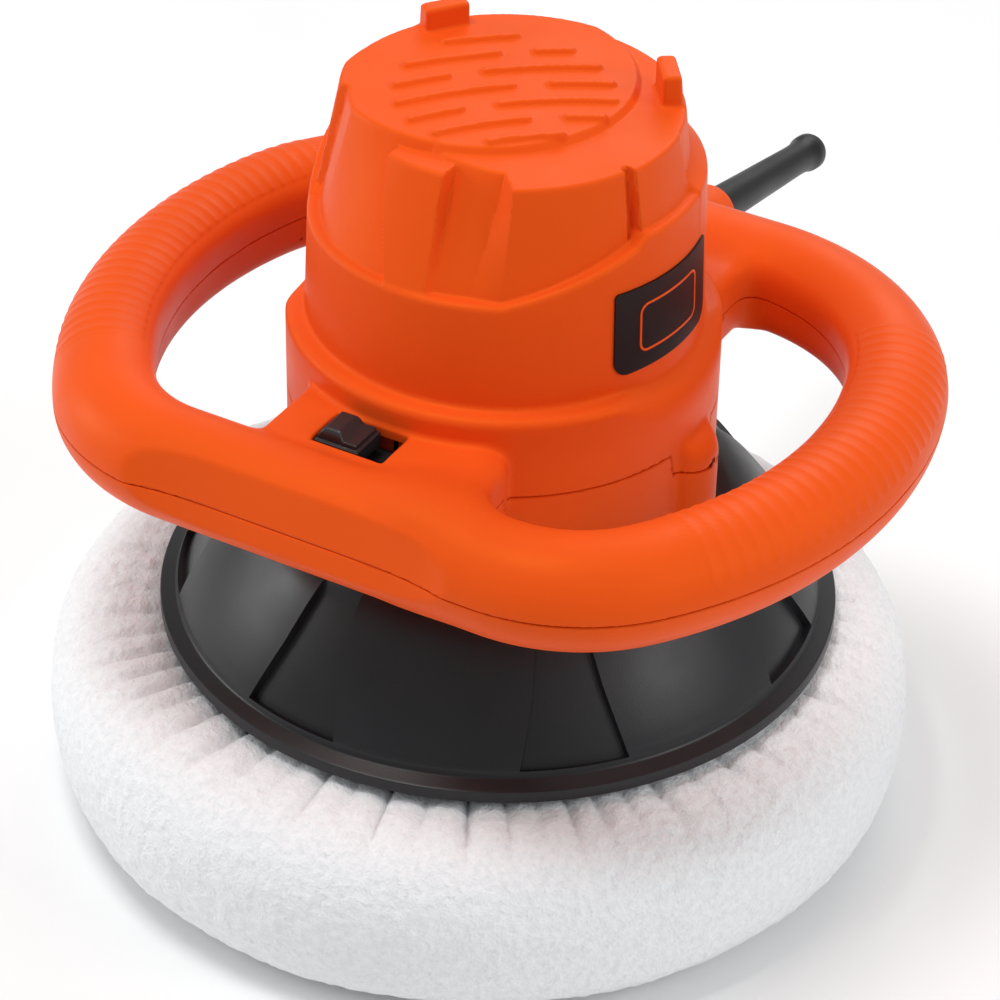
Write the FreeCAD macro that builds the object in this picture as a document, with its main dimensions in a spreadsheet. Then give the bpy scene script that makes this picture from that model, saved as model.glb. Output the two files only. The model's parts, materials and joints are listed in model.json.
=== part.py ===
import FreeCAD, Part
import math
import os
import re
import Sketcher

from FreeCAD import Placement, Rotation, Vector

# Ten inch orbital car polisher, lying on its bonnet.
# Origin: on the floor under the motor shaft. +Z up, the switch at the front (-Y), the cord at the back.

doc = FreeCAD.newDocument("OrbitalPolisher")
sheet = doc.addObject("Spreadsheet::Sheet", "Sizes")

SIZES = {
    # pad and bonnet
    "bonnet_radius": 127, "bonnet_edge": 27, "bonnet_height": 57, "bonnet_wall": 4, "lip_radius": 90,
    "plate_radius": 100, "plate_floor": 46.3, "plate_top": 52.3, "plate_hub": 17,
    "plate_rib_start": 16, "plate_rib_length": 52, "plate_rib_thickness": 4,
    "bolt_head": 10, "nut_corner": 9.5, "hex_height": 5.5, "recess_radius": 14, "recess_depth": 7,
    "spacer_wall": 2.6, "spacer_height": 6, "elastic_radius": 1.6,
    # eccentric drive: distance and direction of the pad's axis from the motor's
    "throw": 5, "throw_angle": 208,
    # skirt
    "skirt_radius": 98, "skirt_floor": 60, "skirt_top": 103.7, "skirt_wall": 2.5,
    "skirt_relief": 1.2, "relief_angle": 16, "relief_turn": 4.2, "skirt_reliefs": 7,
    # motor housing
    "body_radius": 60, "body_floor": 104, "body_seam": 134, "wall": 3,
    "boss_radius": 9, "boss_top": 143, "boss_reach": 58, "boss_screw_reach": 56, "boss_hole_top": 137,
    "shoulder_floor": 154, "collar_floor": 157.5, "collar_radius": 55,
    "collar_top": 203, "collar_top_radius": 53.4, "tower_floor": 207, "tower_radius": 48.6,
    "tower_top": 222, "tower_top_radius": 46.8,
    "tab_radius": 40, "tab_thickness": 5, "tab_width": 13, "tab_height": 7,
    "ledge_height": 189, "front_foot_radius": 50.5, "front_top_radius": 34,
    "hollow_neck": 184, "hollow_top_radius": 30,
    # handle ring
    "ring_height": 138.5, "tube_radius": 15.5, "tube_bore": 12.7,
    "ring_front": 89, "ring_back": 79, "front_corner": 42, "back_corner": 62,
    "side_radius": 117.5, "side_centre": 10.1,
    # badge
    "badge_height": 25, "badge_angle": 44, "badge_floor": 163.5,
    # switch deck and its slot
    "deck_width": 64, "deck_top": 150, "deck_floor": 127, "deck_front": 88, "deck_back": 50,
    "slot_length": 22, "slot_width": 14, "slot_offset": 5, "slot_setback": 68,
    "knob_length": 13.5, "knob_width": 12.4, "knob_top": 153.4,
    # cord guard
    "snout_radius": 9, "snout_bore": 6.6, "snout_start": 84, "snout_length": 46,
    "guard_height": 127.9, "guard_droop": 11, "guard_length": 92, "guard_radius": 6,
    "guard_bore": 3.6,
    # motor
    "shaft_radius": 5, "journal_radius": 4, "shaft_floor": 86, "journal_floor": 205, "shaft_top": 215.2,
    "core_floor": 150, "core_top": 180, "stator_radius": 34, "stator_bore": 18.6,
    "armature_radius": 18, "core_slot": 1.8, "winding_height": 6,
    "fan_radius": 26, "fan_floor": 126, "fan_hub": 9, "fan_hub_height": 13, "fan_disc": 1.6, "fan_blade": 1.2,
    "commutator_radius": 11, "commutator_floor": 189, "commutator_top": 203, "brush_height": 196,
    # eccentric hub and counterweight
    "hub_wall": 5, "hub_boss": 12.5, "hub_boss_height": 20, "grub_radius": 2, "grub_length": 7,
    "grub_rise": 11, "weight_radius": 42, "weight_height": 10, "weight_angle": 150,
    # bearings: bore radius, outer radius, floor and width
    "upper_bore": 4, "upper_outer": 11, "upper_floor": 206, "upper_width": 7,
    "lower_bore": 5, "lower_outer": 15, "lower_floor": 113, "lower_width": 9,
    "pad_bore": 6, "pad_outer": 14, "pad_floor": 66, "pad_width": 8,
    # fasteners
    "screw_radius": 2, "screw_head": 3.6, "screw_head_height": 2.6, "hole_play": 0.05,
}
for row, (alias, number) in enumerate(SIZES.items(), start=1):
    sheet.set(f"A{row}", alias)
    sheet.set(f"B{row}", str(number))
    sheet.setAlias(f"B{row}", alias)
doc.recompute()

ALIASES = re.compile(r"\b(" + "|".join(SIZES) + r")\b")
UP = Vector(0, 0, 1)
ACROSS = Vector(0, 1, 0)
FULL_TURN = 360


def size(alias):
    """One driving dimension, read from the sheet."""
    return float(sheet.get(alias))


def bound(text):
    """The expression with every alias pointing at the sheet."""
    return ALIASES.sub(r"Sizes.\1", str(text))


def value(text):
    """The expression's value now."""
    answer = sheet.evalExpression(bound(text))
    return float(getattr(answer, "Value", answer))


def drive(thing, **properties):
    """Bind properties to expressions; a double underscore stands for a dot."""
    for name, text in properties.items():
        thing.setExpression(name.replace("__", "."), bound(text))
    return thing


def place(thing, x=0, y=0, z=0, turn=0, axis=UP):
    """Put an object at bound coordinates, turned about an axis."""
    thing.Placement = Placement(Vector(), Rotation(axis, turn))
    for letter, text in zip("xyz", (x, y, z)):
        thing.setExpression(f"Placement.Base.{letter}", bound(text))
    return thing


def cylinder(radius, height, name="Cylinder", **where):
    """An upright cylinder, or one turned by where's turn and axis."""
    thing = doc.addObject("Part::Cylinder", name)
    drive(thing, Radius=radius, Height=height)
    return place(thing, **where)


def cone(radius, top_radius, height, name="Cone", **where):
    thing = doc.addObject("Part::Cone", name)
    drive(thing, Radius1=radius, Radius2=top_radius, Height=height)
    return place(thing, **where)


def box(length, width, height, name="Box", **where):
    thing = doc.addObject("Part::Box", name)
    drive(thing, Length=length, Width=width, Height=height)
    return place(thing, **where)


def sphere(radius, name="Ball", **where):
    thing = doc.addObject("Part::Sphere", name)
    drive(thing, Radius=radius)
    return place(thing, **where)


def sector(radius, height, angle, start, name="Sector", **where):
    """A slice of a cylinder, angle degrees wide, from the direction start."""
    thing = doc.addObject("Part::Cylinder", name)
    drive(thing, Radius=radius, Height=height, Angle=angle)
    return place(thing, turn=start, **where)


def fuse(label, *pieces):
    thing = doc.addObject("Part::MultiFuse", label)
    thing.Shapes = list(pieces)
    return thing


def cut(label, base, *tools):
    thing = doc.addObject("Part::Cut", label)
    thing.Base = base
    thing.Tool = tools[0] if len(tools) == 1 else fuse(label + "_tools", *tools)
    return thing


def common(label, *pieces):
    thing = doc.addObject("Part::MultiCommon", label)
    thing.Shapes = list(pieces)
    return thing


def group(label, pieces):
    """Identical pieces kept as separate solids in one node."""
    thing = doc.addObject("Part::Compound", label)
    thing.Links = list(pieces)
    return thing


def tube(label, outer, inner, height, **where):
    """A plain ring: a cylinder with a through bore."""
    return cut(label, cylinder(outer, height, **where), cylinder(inner, height, **where))


def turned(label, outline, angle=FULL_TURN, feature="PartDesign::Revolution", body=None):
    """A body turned about Z from an outline of (radius, height) expressions."""
    body = body or doc.addObject("PartDesign::Body", label)
    doc.recompute()
    plane = next(item for item in body.Origin.OriginFeatures if item.Role == "XZ_Plane")
    sketch = body.newObject("Sketcher::SketchObject", label + "_outline")
    sketch.AttachmentSupport = [(plane, "")]
    sketch.MapMode = "FlatFace"
    corners = [Vector(value(radius), value(height), 0) for radius, height in outline]
    count = len(corners)
    for index, corner in enumerate(corners):
        sketch.addGeometry(Part.LineSegment(corner, corners[(index + 1) % count]), False)
    for index in range(count):
        join = ("Coincident", index, 2, (index + 1) % count, 1)
        sketch.addConstraint(Sketcher.Constraint(*join))
    for index, (radius, height) in enumerate(outline):
        for kind, text in (("DistanceX", radius), ("DistanceY", height)):
            number = sketch.addConstraint(Sketcher.Constraint(kind, -1, 1, index, 1, value(text)))
            sketch.setExpression(f"Constraints[{number}]", bound(text))
    turn = body.newObject(feature, label + "_turn")
    turn.Profile = sketch
    turn.ReferenceAxis = (sketch, ["V_Axis"])
    drive(turn, Angle=angle)
    turn.Midplane = angle != FULL_TURN
    return body


def solid(label, shape):
    """A sub-part whose shape is built with Part's own functions."""
    thing = doc.addObject("Part::Feature", label)
    thing.Shape = shape
    return thing


def polar(radius, angle):
    """Bound x and y expressions of a point at a radius and a direction."""
    return f"({radius}) * cos({angle} deg)", f"({radius}) * sin({angle} deg)"


PAD_X, PAD_Y = "throw * cos(throw_angle * 1 deg)", "throw * sin(throw_angle * 1 deg)"


def on_pad_axis(thing):
    """Move a piece built about Z to the pad's own axis."""
    return drive(thing, Placement__Base__x=PAD_X, Placement__Base__y=PAD_Y)


# ---- handle ring: straight front and back bars joined by tangent arcs ----

def arc(centre, radius, start, end):
    """An edge in the ring's plane between two directions, in degrees."""
    circle = Part.Circle(centre, UP, radius)
    return Part.Arc(circle, math.radians(start), math.radians(end)).toShape()


def ring_path():
    """The ring's centreline, closed and symmetric about the YZ plane."""
    height = size("ring_height")
    front, back = size("ring_front"), size("ring_back")
    side, offset = size("side_radius"), size("side_centre")
    front_corner, back_corner = size("front_corner"), size("back_corner")
    front_y, back_y = front_corner - front, back - back_corner
    front_x = math.sqrt((side - front_corner) ** 2 - front_y ** 2) - offset
    back_x = math.sqrt((side - back_corner) ** 2 - back_y ** 2) - offset
    front_turn = math.degrees(math.atan2(front_y, front_x + offset))
    back_turn = math.degrees(math.atan2(back_y, back_x + offset))
    return Part.Wire([
        Part.makeLine(Vector(-front_x, -front, height), Vector(front_x, -front, height)),
        arc(Vector(front_x, front_y, height), front_corner, -90, front_turn),
        arc(Vector(-offset, 0, height), side, front_turn, back_turn),
        arc(Vector(back_x, back_y, height), back_corner, back_turn, 90),
        Part.makeLine(Vector(back_x, back, height), Vector(-back_x, back, height)),
        arc(Vector(-back_x, back_y, height), back_corner, 90, 180 - back_turn),
        arc(Vector(offset, 0, height), side, 180 - back_turn, 180 - front_turn),
        arc(Vector(-front_x, front_y, height), front_corner, 180 - front_turn, 270),
    ])


def ring_tube(label, radius):
    """A round tube swept along the ring."""
    path = ring_path()
    start = path.OrderedEdges[0].Vertexes[0].Point
    section = Part.Wire(Part.makeCircle(radius, start, Vector(1, 0, 0)))
    return solid(label, path.makePipeShell([section], True, False))


# ---- what every fastener and bearing has in common ----

def screw(name, x, y, head_floor, length, head_down=True):
    """A pan-head screw on a vertical axis, driven from below or from above."""
    head = cylinder("screw_head", "screw_head_height", x=x, y=y, z=head_floor, name=name + "_head")
    shank_floor = f"({head_floor}) + screw_head_height" if head_down else f"({head_floor}) - ({length})"
    shank = cylinder("screw_radius", length, x=x, y=y, z=shank_floor, name=name + "_shank")
    return fuse(name, head, shank)


def screw_hole(x, y, floor, height):
    return cylinder("screw_radius + hole_play", height, x=x, y=y, z=floor, name="ScrewHole")


def bearing(name, balls=8):
    """Outer race, inner race and balls of a deep-groove bearing on the Z axis."""
    bore, outer = f"{name}_bore", f"{name}_outer"
    floor, width = f"{name}_floor", f"{name}_width"
    depth = f"({outer} - {bore})"
    middle = f"({outer} + {bore}) / 2"
    ball = f"{depth} * 0.22"
    rings = []
    for part, inside, outside in (("outer", f"{outer} - {depth} * 0.3", outer),
                                  ("inner", bore, f"{bore} + {depth} * 0.3")):
        plain = tube(f"{name}_{part}_blank", outside, inside, z=floor, height=width)
        groove = doc.addObject("Part::Torus", f"{name}_{part}_groove")
        drive(groove, Radius1=middle, Radius2=f"{ball} + hole_play")
        place(groove, z=f"{floor} + {width} / 2")
        rings.append(cut(f"{name}_bearing_{part}", plain, groove))
    beads = []
    for index in range(balls):
        x, y = polar(middle, index * FULL_TURN / balls)
        beads.append(sphere(ball, x=x, y=y, z=f"{floor} + {width} / 2"))
    return rings + [group(f"{name}_bearing_balls", beads)]


SCREW_DIRECTIONS = (40, 140, 220, 320)
SKIRT_SCREW_RADIUS = 50
CLAMP_SCREWS = ((9, 50), (-9, 50))

# ---- pad: bonnet, foam, backing plate and the bolt that carries them ----

def bonnet_outline(gap="0"):
    """The bonnet's outside or, with a gap, a surface that far inside it: points up its rounded side."""
    points = [("0", gap)]
    for turn in range(-90, 91, 20):
        radius = f"bonnet_radius - bonnet_edge + (bonnet_edge - ({gap})) * cos({turn} deg)"
        height = f"bonnet_height / 2 + (bonnet_height / 2 - ({gap})) * sin({turn} deg)"
        points.append((radius, height))
    return points


def pad_parts():
    shell = bonnet_outline()
    lining = bonnet_outline("bonnet_wall")
    lip = [("lip_radius", "bonnet_height"), ("lip_radius", "bonnet_height - bonnet_wall")]
    bonnet = turned("bonnet", shell + lip + lining[::-1])
    filling = bonnet_outline("bonnet_wall + 0.3")
    foam = turned("foam_blank", filling[:8] + [("plate_radius + 13.5", "plate_floor"), ("0", "plate_floor")])
    recess = cylinder("recess_radius", "recess_depth", z="plate_floor - recess_depth", name="BoltRecess")
    foam = cut("foam_pad", foam, recess)
    plate_disc = cylinder("plate_radius", "plate_top - plate_floor", z="plate_floor", name="PlateDisc")
    hub = cylinder("plate_hub", "pad_floor - spacer_height - plate_floor", z="plate_floor", name="PlateHub")
    ribs = []
    for turn in range(0, FULL_TURN, 60):
        x, y = polar("plate_rib_start", turn)
        ribs.append(box("plate_rib_length", "plate_rib_thickness", "pad_floor - 9 - plate_top",
                        x=f"{x} + plate_rib_thickness / 2 * sin({turn} deg)",
                        y=f"{y} - plate_rib_thickness / 2 * cos({turn} deg)",
                        z="plate_top", turn=turn, name="PlateRib"))
    plate = cut("backing_plate", fuse("plate_blank", plate_disc, hub, *ribs),
                cylinder("pad_bore", 30, z="plate_floor - 1", name="PlateBore"))
    head = doc.addObject("Part::Prism", "BoltHead")
    head.Polygon = 6
    drive(place(head, z="plate_floor - hex_height"), Circumradius="bolt_head", Height="hex_height")
    shank = cylinder("pad_bore", "pad_floor + pad_width + 6 - plate_floor", z="plate_floor", name="BoltShank")
    bolt = fuse("pad_bolt", head, shank)
    spacer = tube("pad_spacer", "pad_bore + spacer_wall", "pad_bore", height="spacer_height",
                  z="pad_floor - spacer_height")
    nut_blank = doc.addObject("Part::Prism", "PadNutBlank")
    nut_blank.Polygon = 6
    drive(place(nut_blank, z="pad_floor + pad_width"), Circumradius="nut_corner",
          Height="hex_height")
    nut = cut("pad_nut", nut_blank, cylinder("pad_bore", 8, z="pad_floor + pad_width - 1", name="NutBore"))
    elastic = doc.addObject("Part::Torus", "bonnet_elastic")
    drive(place(elastic, z="bonnet_height - 2"), Radius1="lip_radius - 2.4",
          Radius2="elastic_radius")
    outer, inner, balls = bearing("pad")
    pieces = [bonnet, foam, plate, bolt, spacer, nut, elastic, outer, inner, balls]
    for piece in pieces:
        on_pad_axis(piece)
    return pieces


# ---- rotor: shaft, armature, fan and the eccentric hub that swings the pad ----

def rotor_parts():
    shaft = fuse("motor_shaft",
                 cylinder("shaft_radius", "journal_floor - shaft_floor", z="shaft_floor"),
                 cylinder("journal_radius", "shaft_top - journal_floor", z="journal_floor"))
    core_height = "core_top - core_floor"
    slots = [box("armature_radius / 2", "core_slot", core_height, x=polar("armature_radius * 0.62", turn)[0],
                 y=polar("armature_radius * 0.62", turn)[1], z="core_floor", turn=turn, name="CoreSlot")
             for turn in range(0, FULL_TURN, 30)]
    core_blank = tube("core_blank", "armature_radius", "shaft_radius", height=core_height, z="core_floor")
    core = cut("armature_core", core_blank, *slots)
    winding = group("armature_winding", [
        tube(name, "armature_radius - 2", "shaft_radius + 1.5", height="winding_height", z=floor)
        for name, floor in (("LowerWinding", "core_floor - winding_height"), ("UpperWinding", "core_top"))])
    bar_gaps = [box(3, 0.6, 30, x=polar("commutator_radius - 1.2", turn)[0],
                    y=polar("commutator_radius - 1.2", turn)[1], z="commutator_floor - 1", turn=turn,
                    name="BarGap") for turn in range(0, FULL_TURN, 15)]
    bars = tube("commutator_blank", "commutator_radius", "shaft_radius",
                height="commutator_top - commutator_floor", z="commutator_floor")
    commutator = cut("commutator", bars, *bar_gaps)
    fan_hub = cylinder("fan_hub", "fan_hub_height", z="fan_floor", name="FanHub")
    fan_disc = cylinder("fan_radius", "fan_disc", z="fan_floor + fan_hub_height - fan_disc", name="FanDisc")
    blades = [box("fan_radius - 9.5", "fan_blade", 11.6, x=polar(8.5, turn)[0], y=polar(8.5, turn)[1],
                  z="fan_floor", turn=turn + 8, name="FanBlade") for turn in range(0, FULL_TURN, 30)]
    fan = cut("cooling_fan", fuse("fan_blank", fan_hub, fan_disc, *blades),
              cylinder("shaft_radius", 20, z="fan_floor - 2", name="FanBore"))
    return [shaft, core, winding, commutator, fan] + hub_parts()


def hub_parts():
    """The eccentric hub, its counterweight, its grub screw and the ring under the pad bearing."""
    cup = cylinder("pad_outer + hub_wall", "pad_width + 12", x=PAD_X, y=PAD_Y, z="pad_floor - 1.5",
                   name="HubCup")
    boss = cylinder("hub_boss", "hub_boss_height", z="pad_floor + pad_width + 8", name="HubBoss")
    seat = cylinder("pad_outer", "pad_width + 1.5", x=PAD_X, y=PAD_Y, z="pad_floor - 1.5", name="BearingSeat")
    nut_room = cylinder("pad_outer - 3", 8, x=PAD_X, y=PAD_Y, z="pad_floor + pad_width", name="NutRoom")
    bore = cylinder("shaft_radius", 30, z="shaft_floor", name="HubBore")
    grub_hole = cylinder("grub_radius", 20, z="shaft_floor + grub_rise", axis=ACROSS, turn=90,
                         name="GrubHole")
    hub = cut("eccentric_hub", fuse("hub_blank", cup, boss), seat, nut_room, bore, grub_hole)
    grub = cylinder("grub_radius", "grub_length", x="shaft_radius", z="shaft_floor + grub_rise", axis=ACROSS,
                    turn=90, name="hub_grub_screw")
    start = value("throw_angle - 180 - weight_angle / 2")
    weight = cut("counterweight",
                 sector("weight_radius", "weight_height", "weight_angle", start, z="pad_floor + pad_width",
                        name="WeightBlank"),
                 cylinder("pad_outer + hub_wall", 30, x=PAD_X, y=PAD_Y, z="pad_floor", name="WeightRoom"))
    circlip = tube("pad_bearing_circlip", "pad_outer", "pad_outer - 2.5", height=1.2, z="pad_floor - 1.3")
    return [hub, grub, weight, on_pad_axis(circlip)]


# ---- motor: stator, coils, brushes, bracket and bearings ----

def motor_parts():
    core_height = "core_top - core_floor"
    yoke = tube("StatorYoke", "stator_radius", "stator_radius - 6", height=core_height, z="core_floor")
    poles = [cut("PoleShoe", sector("stator_radius - 5", core_height, 76, turn - 38, z="core_floor"),
                 cylinder("stator_bore", core_height, z="core_floor")) for turn in (90, 270)]
    stator_holes = [screw_hole(x, 0, "core_floor - 1", "core_top - core_floor + 2")
                    for x in ("stator_radius - 3", "3 - stator_radius")]
    stator = cut("stator_core", fuse("stator_blank", yoke, *poles), *stator_holes)
    coils = []
    for turn in (90, 270):
        outside = sector("stator_radius - 6.5", "core_top - core_floor + 12", 150, turn - 75,
                         z="core_floor - 6", name="CoilOutside")
        bore = cylinder("stator_bore + 1", 60, z="core_floor - 10", name="CoilBore")
        window = sector("stator_radius", "core_top - core_floor + 1", 78, turn - 39,
                        z="core_floor - 0.5", name="CoilWindow")
        coils.append(cut("FieldCoil", outside, bore, window))
    return [stator, group("field_coils", coils)] + brush_parts() + bracket_parts()


def brush_parts():
    """Two brushes on the X axis, each in its brass holder with a spring behind it."""
    holders, brushes, springs = [], [], []
    for side in (0, 180):
        sign = math.cos(math.radians(side))
        start = 13 if sign > 0 else -35
        outer = box(22, 9, 11, x=start, y=-4.5, z="brush_height - 5.5", name="HolderOutside")
        inner = box(30, 6, 8, x=start - 4, y=-3, z="brush_height - 4", name="HolderInside")
        holders.append(cut("Holder", outer, inner))
        block = box(14, 5.8, 7.8, x="commutator_radius + 0.1" if sign > 0 else "-commutator_radius - 14.1",
                    y=-2.9, z="brush_height - 3.9", name="Brush")
        brushes.append(block)
        spring_start = "commutator_radius + 14.2" if sign > 0 else "-commutator_radius - 14.2"
        coil = cylinder(2.4, 9, x=spring_start, z="brush_height", axis=ACROSS, turn=90 * sign,
                        name="SpringOutside")
        core = cylinder(1.6, 9, x=spring_start, z="brush_height", axis=ACROSS, turn=90 * sign,
                        name="SpringInside")
        springs.append(cut("Spring", coil, core))
    return [group("brush_holders", holders), group("carbon_brushes", brushes),
            group("brush_springs", springs)]


def bracket_parts():
    """The lower bearing bracket, its stator posts, the rubber boot and the stator screws."""
    plate = cylinder("body_radius - wall - 5", 4, z="body_floor + wall", name="BracketPlate")
    hub = cylinder("lower_outer + 4", "lower_floor + lower_width - body_floor - wall", z="body_floor + wall",
                   name="BracketHub")
    posts = [cylinder(4, "core_floor - body_floor - wall", x=x, z="body_floor + wall", name="StatorPost")
             for x in ("stator_radius - 3", "3 - stator_radius")]
    posts += [cylinder(4, 34.5, x=x, y=y, z="body_floor + wall", name="ClampPost") for x, y in CLAMP_SCREWS]
    seat = cylinder("lower_outer", 40, z="lower_floor", name="LowerSeat")
    way = cylinder("shaft_radius + 3", 40, z="body_floor", name="ShaftWay")
    holes = [screw_hole(x, 0, "core_floor - 20", 20) for x in ("stator_radius - 3", "3 - stator_radius")]
    holes += [screw_hole(*polar(SKIRT_SCREW_RADIUS, turn), "body_floor", 10) for turn in SCREW_DIRECTIONS]
    holes += [screw_hole(x, y, "body_floor + 20", 20) for x, y in CLAMP_SCREWS]
    bracket = cut("motor_bracket", fuse("bracket_blank", plate, hub, *posts), seat, way, *holes)
    boot = cut("bearing_boot", cylinder("upper_outer + 1.5", 11, z="upper_floor - 0.5", name="BootOutside"),
               cylinder("upper_outer", 10, z="upper_floor - 0.5", name="BootInside"))
    stator_screws = group("stator_screws", [
        screw("StatorScrew", x, 0, "core_top", 46, head_down=False)
        for x in ("stator_radius - 3", "3 - stator_radius")])
    return [bracket, boot, stator_screws] + bearing("upper", 7) + bearing("lower", 8)


# ---- motor housing and handle ring: an upper and a lower shell that meet at the seam ----

# a cutter's radius and height, beyond every outline of the housing
BEYOND, CUTTER_HEIGHT = 70, 60
RING_SCREWS = ((62, -86.1), (-62, -86.1), (72, 70.6), (-72, 70.6))
BOSS_PLACES = ("boss_reach", "-boss_reach")
BOSS_SCREWS = ("boss_screw_reach", "-boss_screw_reach")


def upper_outside():
    """The upper shell's outside, before it is hollowed."""
    body = cylinder("body_radius", "shoulder_floor - body_seam", z="body_seam", name="UpperBody")
    shoulder = cone("body_radius", "collar_radius", "collar_floor - shoulder_floor", z="shoulder_floor",
                    name="Shoulder")
    collar = cone("collar_radius", "collar_top_radius", "collar_top - collar_floor", z="collar_floor",
                  name="Collar")
    collar_slope = cone("collar_top_radius", "tower_radius", "tower_floor - collar_top", z="collar_top",
                        name="CollarSlope")
    tower = cone("tower_radius", "tower_top_radius", "tower_top - tower_floor", z="tower_floor", name="Tower")
    blank = fuse("tower_blank", body, shoulder, collar, collar_slope, tower)
    front_sector = sector(BEYOND, CUTTER_HEIGHT, 56, -116, z="ledge_height", name="FrontSector")
    left_sector = sector(BEYOND, CUTTER_HEIGHT, 52, -167, z="ledge_height", name="LeftSector")
    left_core = cone("front_foot_radius + 1", "front_top_radius + 11", "tower_top - ledge_height",
                     z="ledge_height", name="LeftCore")
    front_core = cone("front_foot_radius", "front_top_radius", "tower_top - ledge_height", z="ledge_height",
                      name="FrontCore")
    panel_sector = sector(BEYOND, CUTTER_HEIGHT, 44, -62, z="ledge_height + 3", name="PanelSector")
    panel_core = cone("front_foot_radius", "tower_top_radius", "tower_top - ledge_height - 3",
                      z="ledge_height + 3", name="PanelCore")
    carved = cut("tower_carved", blank, cut("FrontRelief", front_sector, front_core),
                 cut("LeftRelief", left_sector, left_core), cut("PanelRelief", panel_sector, panel_core))
    rib = box(15, 20, 31, x=-11, y=-54, z="ledge_height - 1", name="TowerRib")
    deck = box("deck_width", "deck_front - deck_back", "deck_top - ring_height", x="-deck_width / 2",
               y="-deck_front", z="ring_height", name="Deck")
    bridge = box(84, 36, 11, x=-42, y=46, z="ring_height", name="BackBridge")
    bosses = [cylinder("boss_radius", "boss_top - body_seam", x=x, z="body_seam", name="UpperBoss")
              for x in BOSS_PLACES]
    tabs = [box("tab_thickness", "tab_width", "tab_height + 3",
                x=polar("tab_radius", turn)[0] + f" + tab_width / 2 * sin({turn} deg)",
                y=polar("tab_radius", turn)[1] + f" - tab_width / 2 * cos({turn} deg)", z="tower_top - 3",
                turn=turn, name="TopTab") for turn in (36, 144)]
    ring = common("UpperRing", ring_tube("RingOutside", size("tube_radius")),
                  box(300, 300, 40, x=-150, y=-150, z="ring_height", name="AboveSeam"))
    return fuse("upper_outside", carved, common("RibInTower", rib, tower_core()), deck, bridge, *bosses,
                *tabs, ring)


def tower_core():
    """The space inside the tower's own outline, which trims what stands on its front."""
    return cone("front_foot_radius + 2.5", "front_top_radius + 5", "tower_top - ledge_height",
                z="ledge_height - 1", name="TowerOutline")


def ring_hollow():
    """The hollow inside the handle ring, with the screw posts left standing in it."""
    posts = [cylinder(5.5, 40, x=x, y=y, z="ring_height - 20", name="RingPost") for x, y in RING_SCREWS]
    return cut("RingHollow", ring_tube("RingInside", size("tube_bore")), *posts)


def lead_way():
    """The passage through the body's wall for the leads between switch and motor."""
    return box(20, 18, 7, x=-15, y=-67, z="ring_height - 5", name="LeadWay")


def upper_housing():
    neck_to_top = "tower_top - wall - hollow_neck"
    back_cone = cone("tower_radius - wall", "tower_top_radius - wall", neck_to_top, z="hollow_neck",
                     name="BackHollowCone")
    front_wall = sector(BEYOND, CUTTER_HEIGHT, 120, -174, z="hollow_neck", name="FrontWall")
    back_hollow = cut("BackHollow", back_cone, front_wall)
    hollow = fuse("UpperHollow",
                  cylinder("body_radius - wall", "shoulder_floor - wall - body_seam + 1", z="body_seam - 1",
                           name="BodyHollow"),
                  cylinder("collar_radius - wall - 1.5", "hollow_neck - shoulder_floor + wall",
                           z="shoulder_floor - wall", name="CollarHollow"),
                  cone("front_foot_radius - wall", "hollow_top_radius", neck_to_top, z="hollow_neck",
                       name="TowerHollow"), back_hollow)
    bearing_post = cylinder("upper_outer + 4.5", "tower_top - upper_floor", z="upper_floor - 0.5",
                            name="BearingPost")
    boot_room = cylinder("upper_outer + 1.5", 11, z="upper_floor - 0.5", name="BootRoom")
    slot = box("slot_length", "slot_width", 30, x="-slot_offset - slot_length / 2",
               y="-slot_setback - slot_width / 2", z="ring_height - 6", name="SwitchSlot")
    switch_room = box(46, 20, "deck_top - wall - ring_height + 6", x="-slot_offset - 23",
                      y="-slot_setback - 10", z="ring_height - 6", name="SwitchRoom")
    holes = [screw_hole(x, y, "ring_height - 8", 16) for x, y in RING_SCREWS]
    holes += [screw_hole(x, 0, "body_seam - 1", "boss_hole_top - body_seam + 1") for x in BOSS_SCREWS]
    shell = cut("upper_shell", upper_outside(), hollow, ring_hollow(), switch_room, lead_way())
    return cut("upper_housing", fuse("upper_filled", shell, bearing_post), boot_room, slot, *holes)


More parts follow.
